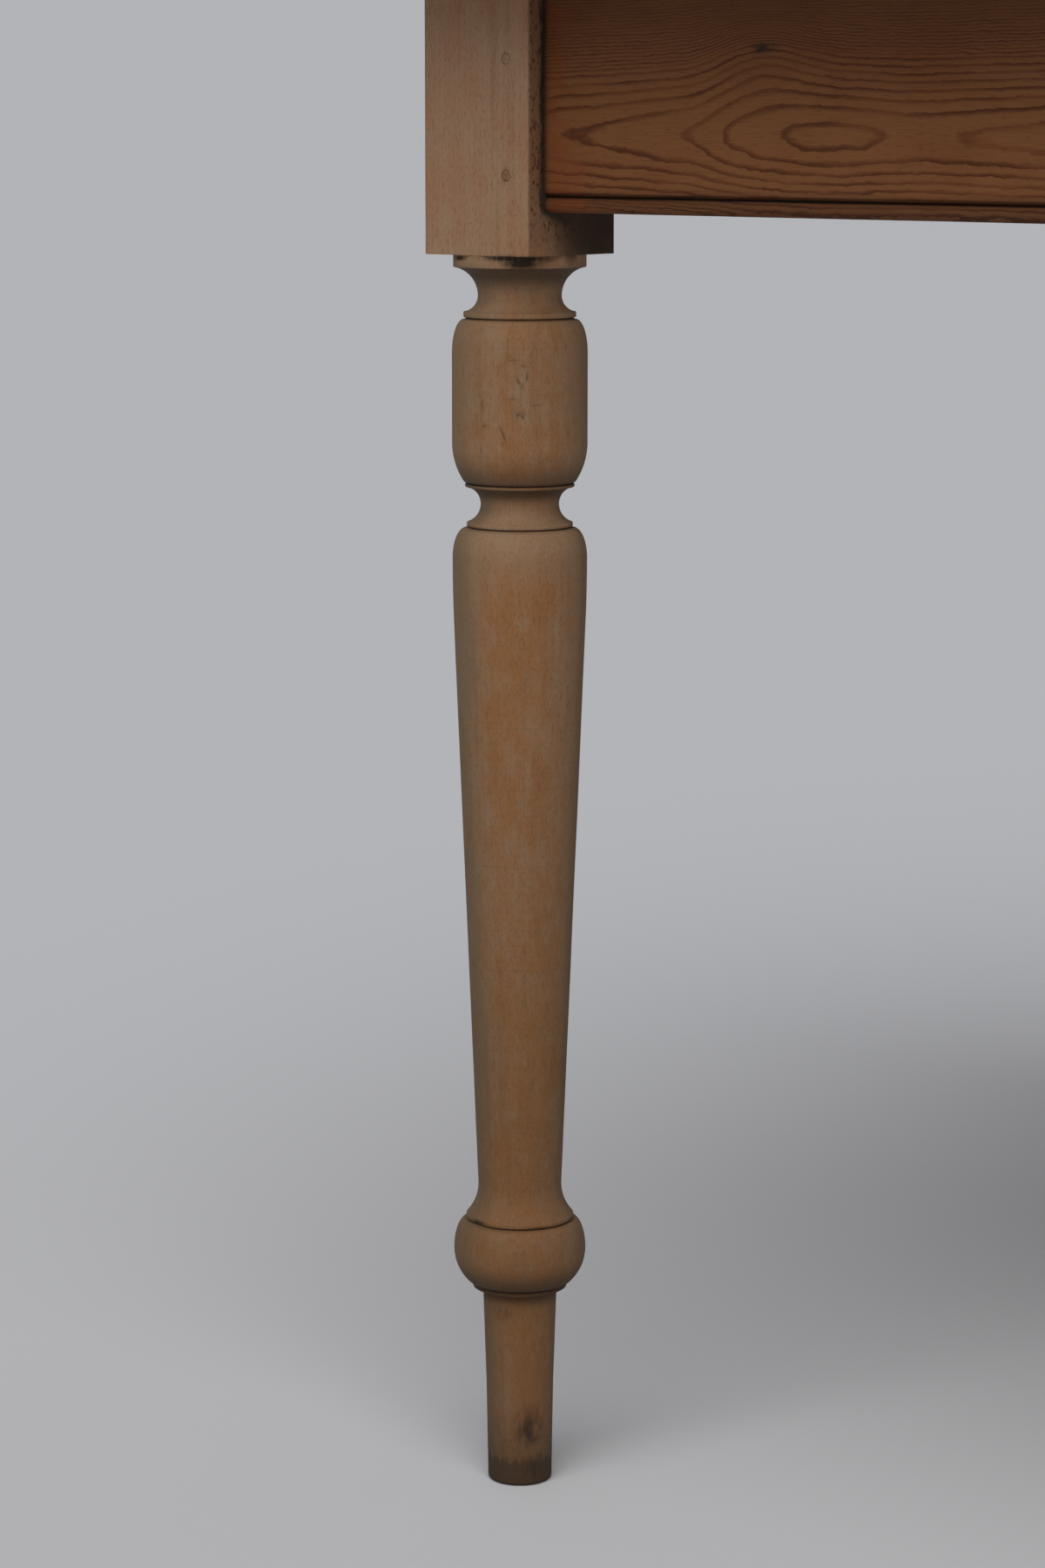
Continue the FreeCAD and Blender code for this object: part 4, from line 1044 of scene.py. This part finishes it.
for end_name, end in ENDS.items():
    drawer = f"{end_name}_drawer"
    for side_name in SIDES:
        node = f"{drawer}_knob_{side_name}"
        low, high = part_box(node)
        middle = (low + high) / 2
        knob = knob_turning.copy()
        knob.data = knob_turning.data.copy()
        knob.name = f"turned_{node}"
        bpy.context.collection.objects.link(knob)
        take_up(knob)
        knob.rotation_euler = (0, end * math.pi / 2, 0)
        knob.location = (end * -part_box("left_drawer_front")[0].x, middle.y, middle.z)
        bpy.ops.object.transform_apply(location=True, rotation=True, scale=True)
        wear(knob, KNOB_WEAR, KNOB_WEAR_SIZE)
        paint = Paint(f"{node}_wood")
        heart = (middle.y / MM + KNOB_HEART[0], middle.z / MM + KNOB_HEART[1])
        colour, height = hardwood(paint, "x", heart, chance.uniform(0, 50), KNOB_STAIN)
        hands = paint.noise(*(axis / 14 for axis in paint.axes.values()), detail=3.0)
        colour = paint.mix(0.55 + hands * 0.35, colour, HANDLED)
        colour = paint.mix(paint.rise(paint.hollows(6 * MM), 0.35, 0.8) * 0.8, colour, DARK_DIRT_AND_SHADE)
        wood = paint.done(colour, 0.36 + hands * 0.2, height, 0.1 * MM, KNOB_SHINE)
        dress(knob, drawer, "knob_hardwood", wood, node)
bpy.data.objects.remove(knob_turning)


# Screws and nails: slotted iron screws through the kickers, the top rails and the bearer into the top and
# through the runners into the side rails, and cut nails in the guides and drawer bottoms, all rusted brown.

IRON_DARK = (0.055, 0.042, 0.035, 1)
IRON_RUST = (0.16, 0.062, 0.025, 1)
IRON_METAL = 0.55
IRON_SHINE = 0.5
SCREW_HEAD = 4.0 * MM
SCREW_ARRIS = 0.2 * MM
SLOT_WIDTH = 0.9 * MM
SLOT_DEPTH = 0.9 * MM
SLOT_REACH = 5.25 * MM

iron = Paint("rusted_iron")
scale = iron.noise(*(axis / 1.6 for axis in iron.axes.values()), detail=4.0)
iron.shader.inputs["Metallic"].default_value = IRON_METAL
rust = iron.mix(iron.rise(scale, 0.35, 0.65), IRON_DARK, IRON_RUST)
iron.done(rust, 0.5 + scale * 0.35, scale, 0.15 * MM, IRON_SHINE)


def heads(piece, way):
    """Middles of the flat screw heads that face this way."""
    shape = bmesh.new()
    shape.from_mesh(piece.data)
    spots = []
    for part in shape.faces:
        if part.normal.dot(way) > 0.99:
            middle = part.calc_center_median()
            if all((middle - spot).length > 3 * SCREW_HEAD for spot in spots):
                spots.append(middle)
    shape.free()
    return spots


for node, axis, ways in (("top_screws", 2, [(0, 0, -1)]), ("runner_screws", 1, [(0, 1, 0), (0, -1, 0)])):
    screws = refined(node, f"slotted_{node}", SCREW_ARRIS, (0, 0, 0))
    half = Vector((SLOT_REACH, SLOT_WIDTH / 2, SLOT_WIDTH / 2))
    half[axis] = SLOT_DEPTH
    slots = [bar(spot - half, spot + half) for way in ways for spot in heads(screws, Vector(way))]
    take_up(*slots)
    bpy.ops.object.join()
    cut_away(screws, slots[:1])
    dress(screws, "table", "iron", iron.material, node)
for node in ("guide_nails", "left_drawer_nails", "right_drawer_nails"):
    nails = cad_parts[node]
    nails.data.materials.clear()
    nails.data.materials.append(iron.material)


# Floor, light and camera: a plain pale floor under soft light from the front, and the view of the
# photograph, close to one leg from the height of the rail.

FLOOR_SIZE = 120
FLOOR_PALE = (0.618, 0.621, 0.635, 1)
FLOOR_ROUGHNESS = 0.9
bpy.ops.object.select_all(action="DESELECT")
bpy.ops.mesh.primitive_plane_add(size=FLOOR_SIZE)
floor = bpy.context.active_object
floor.name = "floor"
plain = Paint("pale_floor")
floor.data.materials.append(plain.done(FLOOR_PALE, FLOOR_ROUGHNESS, 0.0, 0.0, shine=0.1))

HORIZON = (0.45, 0.455, 0.475, 1)
CEILING = (0.24, 0.245, 0.26, 1)
WALL_FOOT = 0.02
WALL_HEAD = 0.35
world = bpy.data.worlds.new("pale_room")
world.use_nodes = True
nodes = world.node_tree.nodes
links = world.node_tree.links
way = nodes.new("ShaderNodeTexCoord")
height = nodes.new("ShaderNodeSeparateXYZ")
links.new(way.outputs["Generated"], height.inputs[0])
fade = nodes.new("ShaderNodeMapRange")
fade.interpolation_type = "SMOOTHSTEP"
fade.inputs["From Min"].default_value = WALL_FOOT
fade.inputs["From Max"].default_value = WALL_HEAD
links.new(height.outputs["Z"], fade.inputs["Value"])
tone = nodes.new("ShaderNodeMix")
tone.data_type = "RGBA"
tone.inputs[6].default_value = HORIZON
tone.inputs[7].default_value = CEILING
links.new(fade.outputs[0], tone.inputs[0])
links.new(tone.outputs[2], nodes["Background"].inputs["Color"])
bpy.context.scene.world = world

LIGHT_TILT = math.radians(40)
LIGHT_TURN = math.radians(30)
LIGHT_STRENGTH = 2.0
LIGHT_SOFTNESS = math.radians(55)
bpy.ops.object.light_add(type="SUN", rotation=(LIGHT_TILT, 0, LIGHT_TURN))
window = bpy.context.active_object
window.data.energy = LIGHT_STRENGTH
window.data.angle = LIGHT_SOFTNESS

PHOTO_SIZE = (1200, 1800)
PHOTO_FOCUS = 4652.9
PHOTO_MIDDLE = 596.98
CAMERA_PLACE = (601.6 * MM, -1793.2 * MM, 670.6 * MM)
CAMERA_TILT = math.radians(90 - 9.557)
CAMERA_TURN = math.radians(40.30)
SENSOR = 36
bpy.ops.object.camera_add(location=CAMERA_PLACE, rotation=(CAMERA_TILT, 0, CAMERA_TURN))
camera = bpy.context.active_object
camera.data.sensor_width = SENSOR
camera.data.lens = SENSOR * PHOTO_FOCUS / max(PHOTO_SIZE)
camera.data.shift_x = (PHOTO_SIZE[0] / 2 - PHOTO_MIDDLE) / max(PHOTO_SIZE)
bpy.context.scene.camera = camera
bpy.context.scene.view_settings.view_transform = "Standard"
